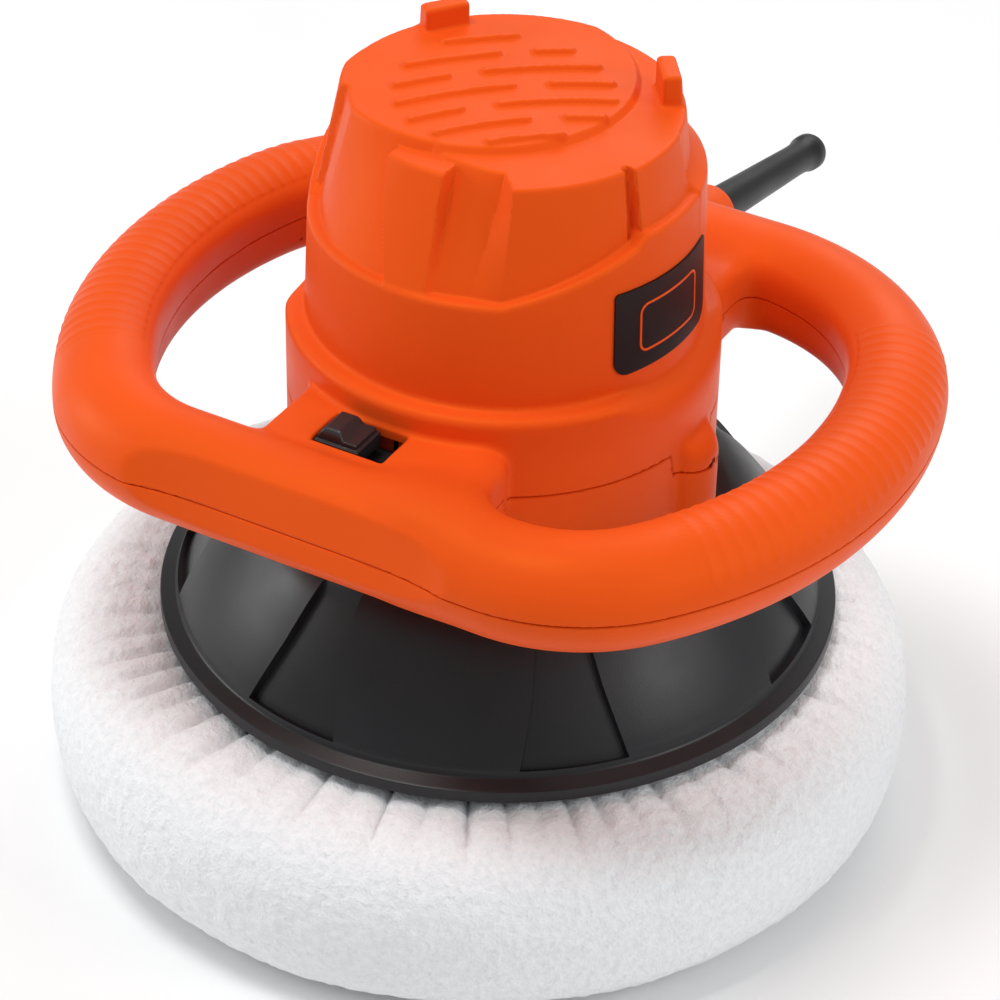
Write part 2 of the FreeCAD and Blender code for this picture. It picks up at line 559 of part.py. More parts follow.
def lower_housing():
    body = cylinder("body_radius", "body_seam - body_floor", z="body_floor", name="LowerBody")
    bosses = [cylinder("boss_radius", "body_seam - body_floor", x=x, z="body_floor", name="LowerBoss")
              for x in BOSS_PLACES]
    deck = box("deck_width", "deck_front - deck_back", "ring_height - deck_floor", x="-deck_width / 2",
               y="-deck_front", z="deck_floor", name="LowerDeck")
    bridge = box(84, 36, 11, x=-42, y=46, z="ring_height - 11", name="LowerBridge")
    ring = common("LowerRing", ring_tube("RingOutsideLow", size("tube_radius")),
                  box(300, 300, 40, x=-150, y=-150, z="ring_height - 40", name="BelowSeam"))
    snout = guard_piece(cylinder("snout_radius", "snout_length", name="Snout"))
    upper_body = cylinder("body_radius + 0.02", 20, z="body_seam", name="UpperBodyRoom")
    arms = cut("lower_arms", fuse("lower_reach", deck, bridge, ring), upper_body)
    outside = fuse("lower_outside", body, arms, snout, *bosses)
    hollow = cylinder("body_radius - wall", 60, z="body_floor + wall", name="LowerHollow")
    floor_way = cylinder(45, 20, z="body_floor - 5", name="FloorWay")
    deck_room = box(46, 34, "ring_height - deck_floor - wall + 1", x="-slot_offset - 23", y=-83,
                    z="deck_floor + wall", name="DeckRoom")
    bore = guard_piece(cylinder("snout_bore", "snout_length + 40", name="SnoutBore"), -30)
    holes = [screw_hole(x, y, "ring_height - tube_radius - 5", 40) for x, y in RING_SCREWS]
    head_rooms = [cylinder("screw_head + 0.4", 12, x=x, y=y, z="ring_height - tube_radius - 5",
                           name="HeadRoom") for x, y in RING_SCREWS]
    holes += [screw_hole(x, 0, "body_floor - 5", 60) for x in BOSS_SCREWS]
    head_rooms += [cylinder("screw_head + 0.4", 10, x=x, z="body_floor - 4", name="HeadRoom")
                   for x in BOSS_SCREWS]
    holes += [screw_hole(*polar(SKIRT_SCREW_RADIUS, turn), "body_floor - 5", 20) for turn in SCREW_DIRECTIONS]
    flange_room = guard_piece(cylinder("snout_bore + 2.6", 3.4, name="FlangeRoom"), -6.2)
    return cut("lower_housing", outside, hollow, floor_way, ring_hollow(), deck_room, bore, flange_room,
               lead_way(), *holes, *head_rooms)


def guard_piece(thing, along=0):
    """Lay a piece built about Z along the cord guard's drooping axis, starting in the snout."""
    tilt = -90 - value("guard_droop")
    thing.Placement = Placement(Vector(), Rotation(Vector(1, 0, 0), tilt))
    drive(thing, Placement__Base__y=f"snout_start + ({along}) * cos(guard_droop * 1 deg)",
          Placement__Base__z=f"guard_height + 2 - ({along}) * sin(guard_droop * 1 deg)")
    return thing


def guard_parts():
    """The flexible cord guard: a flange held in the snout, a tapered sleeve and a flared lip."""
    flange = guard_piece(cylinder("snout_bore + 2.5", 3, name="GuardFlange"), -6)
    root = guard_piece(cylinder("snout_bore - 0.1", 10, name="GuardRoot"), -4)
    sleeve = guard_piece(cone("snout_bore - 0.1", "guard_radius - 1", "guard_length + 22",
                              name="GuardSleeve"), 6)
    lip = guard_piece(cylinder("guard_radius", 4, name="GuardLip"), "guard_length + 25")
    bore = guard_piece(cylinder("guard_bore", "guard_length + 60", name="GuardBore"), -10)
    guard = cut("cord_guard", fuse("guard_blank", flange, root, sleeve, lip), bore)
    clamp = cut("cord_clamp", box(26, 8, 4, x=-13, y=46, z="body_floor + wall + 34.5", name="ClampBar"),
                *[screw_hole(x, y, "body_floor + 30", 20) for x, y in CLAMP_SCREWS])
    screws = group("clamp_screws", [
        screw("ClampScrew", x, y, "body_floor + wall + 38.5", 14, head_down=False) for x, y in CLAMP_SCREWS])
    return [guard, clamp, screws]


# ---- skirt, badge and the fasteners of the housing ----

SKIRT_SIDE = (("skirt_radius - 3.4", 64.5), (89.8, 73), (84, 82), (76.5, 93), (71, 98.6), (66, 101.6))


def skirt_moulding():
    wall = "skirt_wall"
    outside = [("skirt_radius", "skirt_floor"), ("skirt_radius", 64), *SKIRT_SIDE, (60, "skirt_top"),
               (46, "skirt_top")]
    inside = [(46, f"skirt_top - {wall}"), (60, f"skirt_top - {wall}")]
    inside += [(f"{radius} - {wall} * 0.75", f"{height} - {wall} * 0.75")
               for radius, height in SKIRT_SIDE[::-1]]
    body = turned("skirt_moulding", outside + inside + [("skirt_radius - 3.4 - skirt_wall", "skirt_floor")])
    relief = [(f"{radius} - skirt_relief", f"{height} - skirt_relief / 2")
              for radius, height in SKIRT_SIDE[1:]]
    outer = [(f"{radius} + 4", f"{height} + 4") for radius, height in SKIRT_SIDE[1:]]
    turned("relief", relief + outer[::-1], "relief_angle", "PartDesign::Groove", body)
    doc.recompute()
    groove = body.Tip
    pattern = body.newObject("PartDesign::PolarPattern", "reliefs")
    pattern.Originals = [groove]
    sketch = groove.Profile[0]
    pattern.Axis = (sketch, ["V_Axis"])
    drive(pattern, Angle=FULL_TURN, Occurrences="skirt_reliefs")
    body.Tip = pattern
    body.Placement = Placement(Vector(), Rotation(UP, size("relief_turn")))
    doc.recompute()
    return body


def skirt():
    holes = [screw_hole(*polar(SKIRT_SCREW_RADIUS, turn), "skirt_top - 6", 12) for turn in SCREW_DIRECTIONS]
    return cut("skirt", skirt_moulding(), *holes)


def badge():
    """A thin curved plate laid on the collar, wider than it is tall."""
    outer = cone("collar_radius + 0.8", "collar_top_radius + 0.8", "collar_top - collar_floor",
                 z="collar_floor", name="BadgeOutside")
    inner = cone("collar_radius + 0.02", "collar_top_radius + 0.02", "collar_top - collar_floor",
                 z="collar_floor", name="BadgeInside")
    window = sector(BEYOND, "badge_height", "badge_angle", -29, z="badge_floor", name="BadgeWindow")
    return common("badge", cut("BadgeBand", outer, inner), window)


def switch_parts():
    """The slide switch: its body under the deck and the knob that shows in the slot."""
    body = cut("switch_body",
               box(34, 16, 8, x="-slot_offset - 17", y="-slot_setback - 8", z="ring_height - 4",
                   name="SwitchCase"),
               box("slot_length - 1", 5, 9, x="-slot_offset - slot_length / 2 + 0.5",
                   y="-slot_setback - 2.5", z="ring_height - 1", name="SwitchWay"))
    base_x = "-slot_offset - slot_length / 2 + 0.5"
    base = box("knob_length", "knob_width", "4.6", x=base_x, y="-slot_setback - knob_width / 2",
               z="deck_top - 5", name="KnobBase")
    step = box(10.5, 9, "knob_top - deck_top + 0.5", x=f"{base_x} + 1.2", y="-slot_setback - 4.5",
               z="deck_top - 0.5", name="KnobStep")
    stem = box(6, 4.4, 5.7, x=f"{base_x} + 2", y="-slot_setback - 2.2", z="deck_top - 10.5", name="KnobStem")
    return [body, fuse("switch_knob", base, step, stem)]


def electrical_parts():
    capacitor = box(18, 8, 14, x=-44, y=-22, z=114, turn=-60, name="capacitor")
    lead_radius = 1.1
    leads = []
    for side in (-1, 1):
        points = [Vector(side * 6 - 5, -60, 137), Vector(side * 6 - 5, -50, 137), Vector(side * 30, -36, 137),
                  Vector(side * 40, 8, 137), Vector(side * 40, 8, 186), Vector(side * 33, 5.9, 196)]
        runs = [Part.makeCylinder(lead_radius, (end - start).Length, start, end - start)
                for start, end in zip(points, points[1:])]
        joints = [Part.makeSphere(lead_radius, point) for point in points[1:-1]]
        leads.append(runs[0].fuse(runs[1:] + joints))
    return [capacitor, solid("motor_leads", Part.makeCompound(leads))]


def housing_screws():
    ring = [screw("RingScrew", x, y, "ring_height - tube_radius + 4.4", 12) for x, y in RING_SCREWS]
    body = [screw("BodyScrew", x, 0, "body_floor + 3.4", 26.5) for x in BOSS_SCREWS]
    head_floor = "skirt_top - skirt_wall - screw_head_height"
    floor = [screw("SkirtScrew", *polar(SKIRT_SCREW_RADIUS, turn), head_floor, 8)
             for turn in SCREW_DIRECTIONS]
    return [group("ring_screws", ring), group("body_screws", body), group("skirt_screws", floor)]


def write_parts(pieces):
    doc.recompute()
    for thing in doc.Objects:
        if "Invalid" in thing.State or "Error" in thing.State:
            raise RuntimeError(f"{thing.Label} failed: {thing.State}")
    os.makedirs("parts", exist_ok=True)
    for piece in pieces:
        shape = piece.Shape
        if shape.isNull() or not shape.isValid() or not shape.Solids:
            raise RuntimeError(f"{piece.Label} has no valid solid")
        shape.exportStep(f"parts/{piece.Label}.step")
        print(f"{piece.Label:24s} {len(shape.Solids)} solid(s) {shape.Volume / 1000:8.2f} cm3")


write_parts(pad_parts() + rotor_parts() + motor_parts() + guard_parts() + switch_parts()
            + electrical_parts() + housing_screws()
            + [upper_housing(), lower_housing(), skirt(), badge()])
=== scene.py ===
import json
import math

import bpy
import numpy as np
from mathutils import Matrix, Vector


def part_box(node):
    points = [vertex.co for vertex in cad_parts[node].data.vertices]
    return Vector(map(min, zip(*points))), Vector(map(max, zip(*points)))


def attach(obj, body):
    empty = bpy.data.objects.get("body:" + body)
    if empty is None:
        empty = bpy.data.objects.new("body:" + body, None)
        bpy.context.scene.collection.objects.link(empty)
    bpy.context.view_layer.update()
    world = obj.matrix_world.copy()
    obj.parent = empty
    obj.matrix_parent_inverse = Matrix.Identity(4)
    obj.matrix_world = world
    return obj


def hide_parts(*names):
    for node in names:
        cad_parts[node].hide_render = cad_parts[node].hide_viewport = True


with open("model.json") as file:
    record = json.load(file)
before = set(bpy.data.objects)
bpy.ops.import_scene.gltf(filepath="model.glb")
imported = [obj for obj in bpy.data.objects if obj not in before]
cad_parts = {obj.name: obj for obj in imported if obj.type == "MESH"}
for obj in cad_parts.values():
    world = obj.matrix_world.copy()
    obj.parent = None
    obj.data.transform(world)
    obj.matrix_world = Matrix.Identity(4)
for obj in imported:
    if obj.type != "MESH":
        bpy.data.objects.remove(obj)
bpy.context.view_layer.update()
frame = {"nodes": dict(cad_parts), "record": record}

# The looks of a ten inch orbital polisher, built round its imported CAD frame.
# Shapes are worked out in millimetres in the part's own frame; MM turns them into metres.
MM = 0.001


def node_box(node):
    """A CAD node's lowest and highest corners, in millimetres."""
    return [np.array(corner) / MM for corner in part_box(node)]


# ---- places read from the frame ----

UPPER_LOW, UPPER_HIGH = node_box("upper_housing")
LOWER_LOW, LOWER_HIGH = node_box("lower_housing")
SKIRT_LOW, SKIRT_HIGH = node_box("skirt")
BONNET_LOW, BONNET_HIGH = node_box("bonnet")
KNOB_LOW, KNOB_HIGH = node_box("switch_knob")

PAD_X, PAD_Y = (BONNET_LOW[:2] + BONNET_HIGH[:2]) / 2
BONNET_RADIUS = (BONNET_HIGH[0] - BONNET_LOW[0]) / 2
BODY_FLOOR = SKIRT_HIGH[2] + 0.3
RING_Z = LOWER_HIGH[2]
TABS_TOP = UPPER_HIGH[2]
TOWER_TOP = TABS_TOP - 7

# ---- the housing's own sizes ----

WALL = 3.0
BODY_RADIUS = 60.3
BODY_SEAM = 134.0
SIDE_SEAM = 127.0
SHOULDER = 157.5
COLLAR_RADIUS, COLLAR_TAPER = 55.0, 0.035
LEDGE = 189.0
TUBE_RADIUS, TUBE_BORE = 15.5, 12.7
DECK_SIDES, DECK_DEPTH, DECK_FLOOR, DECK_TOP = (-30, 34), (-88, -48), 127, 150.0
BOSS_REACH, BOSS_RADIUS, BOSS_TOP = 58, 8.7, 143.0
SNOUT_RADIUS = 9.0
BADGE_RADIUS = 54.6

RING_FRONT, RING_BACK = 89.0, 79.0
SIDE_RADIUS, SIDE_OFFSET = 117.5, 10.1
FRONT_CORNER, BACK_CORNER = 42.0, 62.0


def corner_arc(radius, y):
    """Centre x of a corner arc that meets the side arc smoothly, and the turn where they meet."""
    reach = math.sqrt((SIDE_RADIUS - radius) ** 2 - y ** 2)
    return reach - SIDE_OFFSET, math.degrees(math.atan2(y, reach))


FRONT_Y, BACK_Y = FRONT_CORNER - RING_FRONT, RING_BACK - BACK_CORNER
FRONT_X, FRONT_MEET = corner_arc(FRONT_CORNER, FRONT_Y)
BACK_X, BACK_MEET = corner_arc(BACK_CORNER, BACK_Y)
# the ring's centre line in plan, right half: arcs (centre x, centre y, radius, first and last turn)
RING_ARCS = ((FRONT_X, FRONT_Y, FRONT_CORNER, -90, FRONT_MEET),
             (-SIDE_OFFSET, 0, SIDE_RADIUS, FRONT_MEET, BACK_MEET),
             (BACK_X, BACK_Y, BACK_CORNER, BACK_MEET, 90))
# the fascia: a plane across the ring's front that leans back as it rises
FASCIA, FASCIA_LEAN, FASCIA_WALL = 101.6, 0.25, 2.8
# the side grips: turns about the side arc's centre, angles round the tube, rib spacing and heights
GRIP_ENDS, GRIP_EDGES = (-34, 26), (18, 132)
GRIP_PITCH, GRIP_LIFT, GRIP_RIB = 4.4, 0.1, 0.22
# the ring's inner side is flattened, with a soft edge at its top
INNER_FLAT, INNER_LEAN, INNER_HOLLOW = 12.6, 0.12, 2.6


# ---- signed distance tools ----

def smooth_min(a, b, soft):
    share = np.clip(0.5 + 0.5 * (b - a) / soft, 0, 1)
    return b + (a - b) * share - soft * share * (1 - share)


def smooth_max(a, b, soft):
    return -smooth_min(-a, -b, soft)


def step(low, high, value):
    """0 below low, 1 above high, smooth between."""
    share = np.clip((value - low) / (high - low), 0, 1)
    return share * share * (3 - 2 * share)


def slab(value, low, high):
    return np.maximum(low - value, value - high)


def block(x, y, z, spans, soft=0.5):
    """A box between three (low, high) spans, its edges softened."""
    side = smooth_max(slab(x, *spans[0]), slab(y, *spans[1]), soft)
    return smooth_max(side, slab(z, *spans[2]), soft)


def ring_offset(x, y):
    """Distance from the ring's centre line in plan, positive outside it."""
    side = np.abs(x)
    best = np.full_like(side, -60.0)
    for centre_x, centre_y, radius, first, last in RING_ARCS:
        turn = np.degrees(np.arctan2(y - centre_y, side - centre_x))
        gap = np.hypot(side - centre_x, y - centre_y) - radius
        near = (turn > first - 0.5) & (turn < last + 0.5) & (np.abs(gap) < np.abs(best))
        best = np.where(near, gap, best)
    for limit, gap in ((RING_ARCS[0][0], -y - RING_FRONT), (RING_ARCS[2][0], y - RING_BACK)):
        near = (side < limit) & (np.abs(gap) < np.abs(best))
        best = np.where(near, gap, best)
    return best


def grip_ribs(x, y, z, offset):
    """Height of the fine ribs across the top of each side grip, on a panel that stands a little proud."""
    side = np.abs(x)
    turn = np.degrees(np.arctan2(y, side - RING_ARCS[1][0]))
    along = turn * math.radians(RING_ARCS[1][2])
    around = np.degrees(np.arctan2(z - RING_Z, offset))
    ends, edges = GRIP_ENDS, GRIP_EDGES
    panel = step(ends[0], ends[0] + 0.6, turn) * step(ends[1], ends[1] - 0.6, turn)
    panel = panel * step(edges[0], edges[0] + 4, around) * step(edges[1], edges[1] - 4, around)
    rib = 0.5 + 0.5 * np.cos(along * math.tau / GRIP_PITCH)
    return panel * (GRIP_LIFT + GRIP_RIB * rib ** 2)


# ---- motor housing ----

# tower facets, from the back left round the front: bottom angle, bottom radius, top angle, top radius
FACETS = (
    (-184, 53.2, -184, 46.8), (-172, 53.0, -172, 47.3), (-157, 52.4, -157, 45.4), (-155.5, 50.3, -155, 42.7),
    (-139, 50.4, -139, 42.2), (-121, 51.6, -119, 36.6), (-90, 50.4, -98, 31.6), (-82, 50.2, -83, 33.2),
    (-72, 49.6, -61, 37.0), (-61.5, 51.2, -59, 46.0), (-21, 50.8, -20.6, 46.4), (-20.4, 49, -20, 44.2),
    (-17.6, 49, -17.6, 44.2), (-17, 53.4, -17, 47.2), (11, 53.4, 11, 47.0), (13, 49.4, 13, 46.9),
    (176, 49.4, 176, 46.8))
# the raised panel on the recessed front
PANEL = ((-99.5, 50.6, -113.5, 34.6), (-97.5, 53.0, -111.5, 40.4), (-84.6, 52.4, -85.2, 39.6),
         (-82.6, 50.2, -83.2, 33.2))
PANEL_TOP = 219.0
# height of the collar's top edge: angle, height
LEDGE_LINE = ((-180, 203), (-172, 200), (-153, 189.4), (-140, LEDGE), (-62, LEDGE), (-21, 200), (-17, 203),
              (180, 203))
TOWER_SPAN = 222.0 - LEDGE


def facet_radius(facets, turn, z):
    """Radius of a faceted wall whose corner lines lean between the ledge and the top."""
    share = np.clip((z - LEDGE) / TOWER_SPAN, 0, 1.3)
    radius = np.zeros_like(turn)
    for (turn_a, foot_a, top_turn_a, top_a), (turn_b, foot_b, top_turn_b, top_b) in zip(facets, facets[1:]):
        start = turn_a + (top_turn_a - turn_a) * share
        end = turn_b + (top_turn_b - turn_b) * share
        first = foot_a + (top_a - foot_a) * share
        last = foot_b + (top_b - foot_b) * share
        part = (turn - start) / (end - start)
        radius = np.where((part >= 0) & (part < 1), first + (last - first) * part, radius)
    return radius


# the shield on top, and its ribs: broken arcs about one far centre, at an equal pitch, in a round field
SHIELD_CENTRE, SHIELD_RADIUS = (-12, 8), 41
RIB_CENTRE, RIB_TURN, RIB_REACH = (68, -77), 132, 107
RIB_ROWS, RIB_PITCH, RIB_FIELD = 7, 9.2, 29.2
RIB_GAP, RIB_STAGGER = 11, 8
RIB_HALF_WIDTH, RIB_HEIGHT = 1.25, 1.3


def rib_dashes():
    """Reach of each rib's arc, and where along it the rib starts and ends, in millimetres from its middle."""
    dashes = []
    for row in range(RIB_ROWS):
        shift = (row - (RIB_ROWS - 1) / 2) * RIB_PITCH
        half = math.sqrt(RIB_FIELD ** 2 - shift ** 2)
        if row in (0, RIB_ROWS - 1):
            dashes.append((RIB_REACH + shift, -half, half))
            continue
        middle = RIB_STAGGER * (-1) ** row
        dashes.append((RIB_REACH + shift, -half, middle - RIB_GAP / 2))
        dashes.append((RIB_REACH + shift, middle + RIB_GAP / 2, half))
    return dashes


def tower_top(x, y):
    """Height of the tower's top face: the shield, its lower surround and the thin ribs."""
    shield = np.hypot(x - SHIELD_CENTRE[0], y - SHIELD_CENTRE[1]) - SHIELD_RADIUS
    height = TOWER_TOP - 2.0 * step(-0.8, 1.4, shield)
    reach = np.hypot(x - RIB_CENTRE[0], y - RIB_CENTRE[1])
    turn = np.degrees(np.arctan2(y - RIB_CENTRE[1], x - RIB_CENTRE[0]))
    for radius, first, last in rib_dashes():
        along = (turn - RIB_TURN) * math.radians(radius)
        overrun = np.maximum(np.abs(along - (first + last) / 2) - (last - first) / 2, 0)
        gap = np.hypot(reach - radius, overrun) - RIB_HALF_WIDTH
        height = height + RIB_HEIGHT * step(0.7, -0.6, gap)
    return height


def tower(x, y, z):
    radius = np.hypot(x, y)
    turn = np.degrees(np.arctan2(y, x))
    wrapped = np.where(turn > 176, turn - 360, turn)
    shape = radius - facet_radius(FACETS, wrapped, z)
    shoulder = np.interp(z, (LEDGE, 203, 207, TOWER_TOP), (53.8, 53.4, 48.6, 46.8))
    behind = step(10, 12, wrapped)
    shape = shape * (1 - behind) + (radius - shoulder) * behind
    top = z - tower_top(x, y)
    shape = smooth_max(shape, top, 1.0)
    panel = radius - facet_radius(PANEL, wrapped, z)
    shape = smooth_min(shape, smooth_max(panel, z - PANEL_TOP, 1.2), 0.4)
    shape = np.maximum(shape, LEDGE - 6 - z)
    for tab_turn in (36, 144):
        cosine, sine = math.cos(math.radians(tab_turn)), math.sin(math.radians(tab_turn))
        out, along = x * cosine + y * sine, y * cosine - x * sine
        tab = block(out, along, z, ((40, 47 - (z - 208) * 0.09), (-6.5, 6.5), (206, TABS_TOP)), 1.2)
        shape = smooth_min(shape, tab, 1.2)
    return shape


def collar(x, y, z):
    turn = np.degrees(np.arctan2(y, x))
    ledge = np.interp(turn, *np.array(LEDGE_LINE).T)
    side = np.hypot(x, y) - (COLLAR_RADIUS - COLLAR_TAPER * (z - SHOULDER))
    return smooth_max(side, z - ledge, 1.8)


def base(x, y, z):
    """The wide lower body, whose upper edge softens towards the sides, with its two screw bosses."""
    radius = np.hypot(x, y)
    sideways = step(0.85, 1.0, np.abs(x) / (radius + 1e-6))
    top = z - SHOULDER - (BODY_RADIUS - radius) * 0.12
    shape = smooth_max(radius - BODY_RADIUS, top, 2.5 + 11 * sideways)
    reach = np.hypot(np.abs(x) - BOSS_REACH, y) - BOSS_RADIUS
    boss = smooth_max(reach, z - (BOSS_TOP - 0.65 * (np.abs(x) - 50)), 4.0)
    return np.maximum(smooth_min(shape, boss, 1.5), BODY_FLOOR - z)


def deck(x, y, z):
    """The switch deck: straight at its left, rounded off at its right."""
    right = step(0, 26, x)
    plan = smooth_max(slab(x, *DECK_SIDES), slab(y, *DECK_DEPTH), 1.0 + 14 * right)
    return smooth_max(plan, slab(z, DECK_FLOOR, DECK_TOP), 2.0 + 5 * right)


def bridge(x, y, z):
    return block(x, y, z, ((-42, 42), (44, 80), (DECK_FLOOR, DECK_TOP)), 5.0)


GUARD_DROOP = math.radians(11)
GUARD_START = (84.0, 129.9)
SNOUT_LENGTH = 46.0


def along_guard(x, y, z):
    """Distance along the cord guard's drooping axis and distance from it."""
    out, up = y - GUARD_START[0], z - GUARD_START[1]
    along = out * math.cos(GUARD_DROOP) - up * math.sin(GUARD_DROOP)
    across = out * math.sin(GUARD_DROOP) + up * math.cos(GUARD_DROOP)
    return along, np.hypot(x, across)


def ring(x, y, z):
    offset = ring_offset(x, y)
    tube = np.hypot(offset, z - RING_Z) - TUBE_RADIUS - grip_ribs(x, y, z, offset)
    inner_face = -offset - INNER_FLAT + INNER_LEAN * (RING_Z - z)
    tube = smooth_max(tube, inner_face, 3.0)
    reach = np.abs(x + 8) / 49
    fascia = FASCIA_LEAN * (z - RING_Z) - y - FASCIA - 3.0 * np.clip(reach, 0, 2) ** 5
    fascia = np.where(y < 0, fascia, -50)
    return smooth_max(tube, fascia, 0.6)


def housing_outside(x, y, z):
    """The whole outside; what a level can't reach is skipped when all points lie beyond it."""
    body = smooth_min(base(x, y, z), collar(x, y, z), 1.2)
    if z.max() > LEDGE - 8:
        body = smooth_min(body, tower(x, y, z), 0.8)
    if z.min() > RING_Z + TUBE_RADIUS + 6:
        return body
    right = step(0, 26, x)
    handle = smooth_min(ring(x, y, z), deck(x, y, z), 2.0 + 12 * right)
    handle = smooth_min(handle, bridge(x, y, z), 7.0)
    along, across = along_guard(x, y, z)
    snout = smooth_max(across - SNOUT_RADIUS, slab(along, -20, SNOUT_LENGTH), 2.0)
    handle = smooth_min(handle, snout, 6.0)
    return smooth_min(body, handle, 2.0)


RING_SCREWS = ((62, -86.1), (72, 70.6))
BOSS_SCREW = 56.0
SKIRT_SCREWS = tuple((50 * math.cos(math.radians(turn)), 50 * math.sin(math.radians(turn)))
                     for turn in (40, 320))


def screw_ways(x, y, z):
    """The screw holes, and the wider rooms for their heads from below."""
    side = np.abs(x)
    ways = np.full_like(side, 50.0)
    for place, depth, head in ((RING_SCREWS[0], RING_Z + 8, 130.4), (RING_SCREWS[1], RING_Z + 8, 130.4),
                               ((BOSS_SCREW, 0), 136.8, 110), (SKIRT_SCREWS[0], 119, 0),
                               (SKIRT_SCREWS[1], 119, 0)):
        reach = np.hypot(side - place[0], y - place[1])
        ways = np.minimum(ways, np.maximum(reach - 2.1, z - depth))
        ways = np.minimum(ways, np.maximum(reach - 4.0, z - head))
    return ways


def hollow(x, y, z):
    """The room inside the housing, with the screw posts and the upper bearing's seat left standing."""
    radius = np.hypot(x, y)
    turn = np.degrees(np.arctan2(y, x))
    body = smooth_max(radius - (BODY_RADIUS - WALL), slab(z, BODY_FLOOR + WALL, SHOULDER - WALL - 3.5), 1.0)
    neck = np.maximum(radius - 50.5, slab(z, 140, 184))
    front = np.maximum(radius - (47.5 - (z - 184) * 0.5), slab(z, 183, TOWER_TOP - WALL - 2))
    back = np.maximum(radius - (45.4 - (z - 184) * 0.05), slab(z, 183, TOWER_TOP - WALL - 2))
    back = np.where((turn > -54) | (turn < -174), back, 50.0)
    room = np.minimum(np.minimum(body, neck), np.minimum(front, back))
    room = np.maximum(room, -np.maximum(radius - 15.5, 205.5 - z))
    boot = np.maximum(radius - 12.5, slab(z, 205, 216.5))
    room = np.minimum(room, boot)
    room = np.minimum(room, np.maximum(radius - 45, z - BODY_FLOOR - WALL - 1))
    tube = np.hypot(ring_offset(x, y), z - RING_Z) - TUBE_BORE
    tube = np.maximum(tube, FASCIA_LEAN * (z - RING_Z) - y - FASCIA + FASCIA_WALL)
    tube = np.maximum(tube, INNER_HOLLOW - INNER_FLAT - ring_offset(x, y))
    side = np.abs(x)
    for post_x, post_y in RING_SCREWS:
        tube = np.maximum(tube, 5.5 - np.hypot(side - post_x, y - post_y))
    switch = block(x, y, z, ((-28, 18), (-78, -58), (132, DECK_TOP - WALL)))
    room = np.minimum(room, np.minimum(tube, switch))
    room = np.minimum(room, block(x, y, z, ((-28, 18), (-83, -49), (130, 139.5))))
    return np.minimum(room, block(x, y, z, ((-15, 5), (-67, -49), (133.5, 140.5))))


def housing(x, y, z):
    shell = smooth_max(housing_outside(x, y, z), -hollow(x, y, z), 0.4)
    shell = np.maximum(shell, -screw_ways(x, y, z))
    along, across = along_guard(x, y, z)
    flange_room = np.maximum(across - 9.2, slab(along, -6.2, -2.8))
    bore = np.minimum(np.maximum(across - 6.6, -30 - along), flange_room)
    shell = smooth_max(shell, -bore, 0.4)
    slot = block(x, y, z, ((-16, 6), (-75, -61), (132, 160)))
    return smooth_max(shell, -slot, 0.5)


def seam_height(x, y):
    """Height where the two housing halves meet: stepped down where the seam runs round the body."""
    radius = np.hypot(x, y)
    beside = step(12, 10, np.abs(y)) * step(40, 46, np.abs(x))
    on_body = BODY_SEAM - (BODY_SEAM - SIDE_SEAM) * beside
    return on_body + (RING_Z - on_body) * step(66, 67.5, radius)


SEAM_GAP = 0.16


def upper_half(x, y, z):
    return smooth_max(housing(x, y, z), seam_height(x, y) + SEAM_GAP - z, 0.25)


def lower_half(x, y, z):
    return smooth_max(housing(x, y, z), z - seam_height(x, y) + SEAM_GAP, 0.25)


# ---- from distance to mesh ----

def sample(field, axes):
    """The field on a grid, one level at a time to keep memory small."""
    x, y = np.meshgrid(axes[0], axes[1], indexing="ij")
    volume = np.empty([len(axis) for axis in axes], np.float32)
    for level, height in enumerate(axes[2]):
        volume[:, :, level] = field(x, y, np.full_like(x, height))
    return volume


def surface_net(volume):
    """One point in each cell that the surface crosses, and a quad round each crossed grid edge."""
    inside = volume < 0
    nx, ny, nz = volume.shape
    corners = [(i, j, k) for i in (0, 1) for j in (0, 1) for k in (0, 1)]
    cell_of = {c: (slice(c[0], nx - 1 + c[0]), slice(c[1], ny - 1 + c[1]), slice(c[2], nz - 1 + c[2]))
               for c in corners}
    count = sum(inside[cell_of[c]].astype(np.int8) for c in corners)
    crossed = (count > 0) & (count < 8)
    number = np.full(crossed.shape, -1, np.int32)
    number[crossed] = np.arange(crossed.sum())
    values = {c: volume[cell_of[c]][crossed].astype(float) for c in corners}
    total = np.zeros((crossed.sum(), 3))
    hits = np.zeros(crossed.sum())
    for a in corners:
        for b in corners:
            if sum(b) - sum(a) != 1 or any(q < p for p, q in zip(a, b)):
                continue
            change = (values[a] < 0) != (values[b] < 0)
            share = values[a][change] / (values[a][change] - values[b][change])
            total[change] += np.array(a) + share[:, None] * (np.array(b) - np.array(a))
            hits[change] += 1
    points = np.argwhere(crossed) + total / hits[:, None]
    quads = []
    for axis in range(3):
        others = [(axis + 1) % 3, (axis + 2) % 3]
        low = [slice(None)] * 3
        high = [slice(None)] * 3
        low[axis], high[axis] = slice(0, -1), slice(1, None)
        for other in others:
            low[other] = high[other] = slice(1, -1)
        first, second = inside[tuple(low)], inside[tuple(high)]
        edges = np.argwhere(first != second)
        outward = first[first != second]
        edges[:, others] += 1
        ring_of = []
        for back_a, back_b in ((1, 1), (0, 1), (0, 0), (1, 0)):
            cell = edges.copy()
            cell[:, others[0]] -= back_a
            cell[:, others[1]] -= back_b
            ring_of.append(number[tuple(cell.T)])
        faces = np.stack(ring_of, axis=1)
        faces[~outward] = faces[~outward][:, ::-1]
        quads.append(faces)
    return points, np.concatenate(quads)


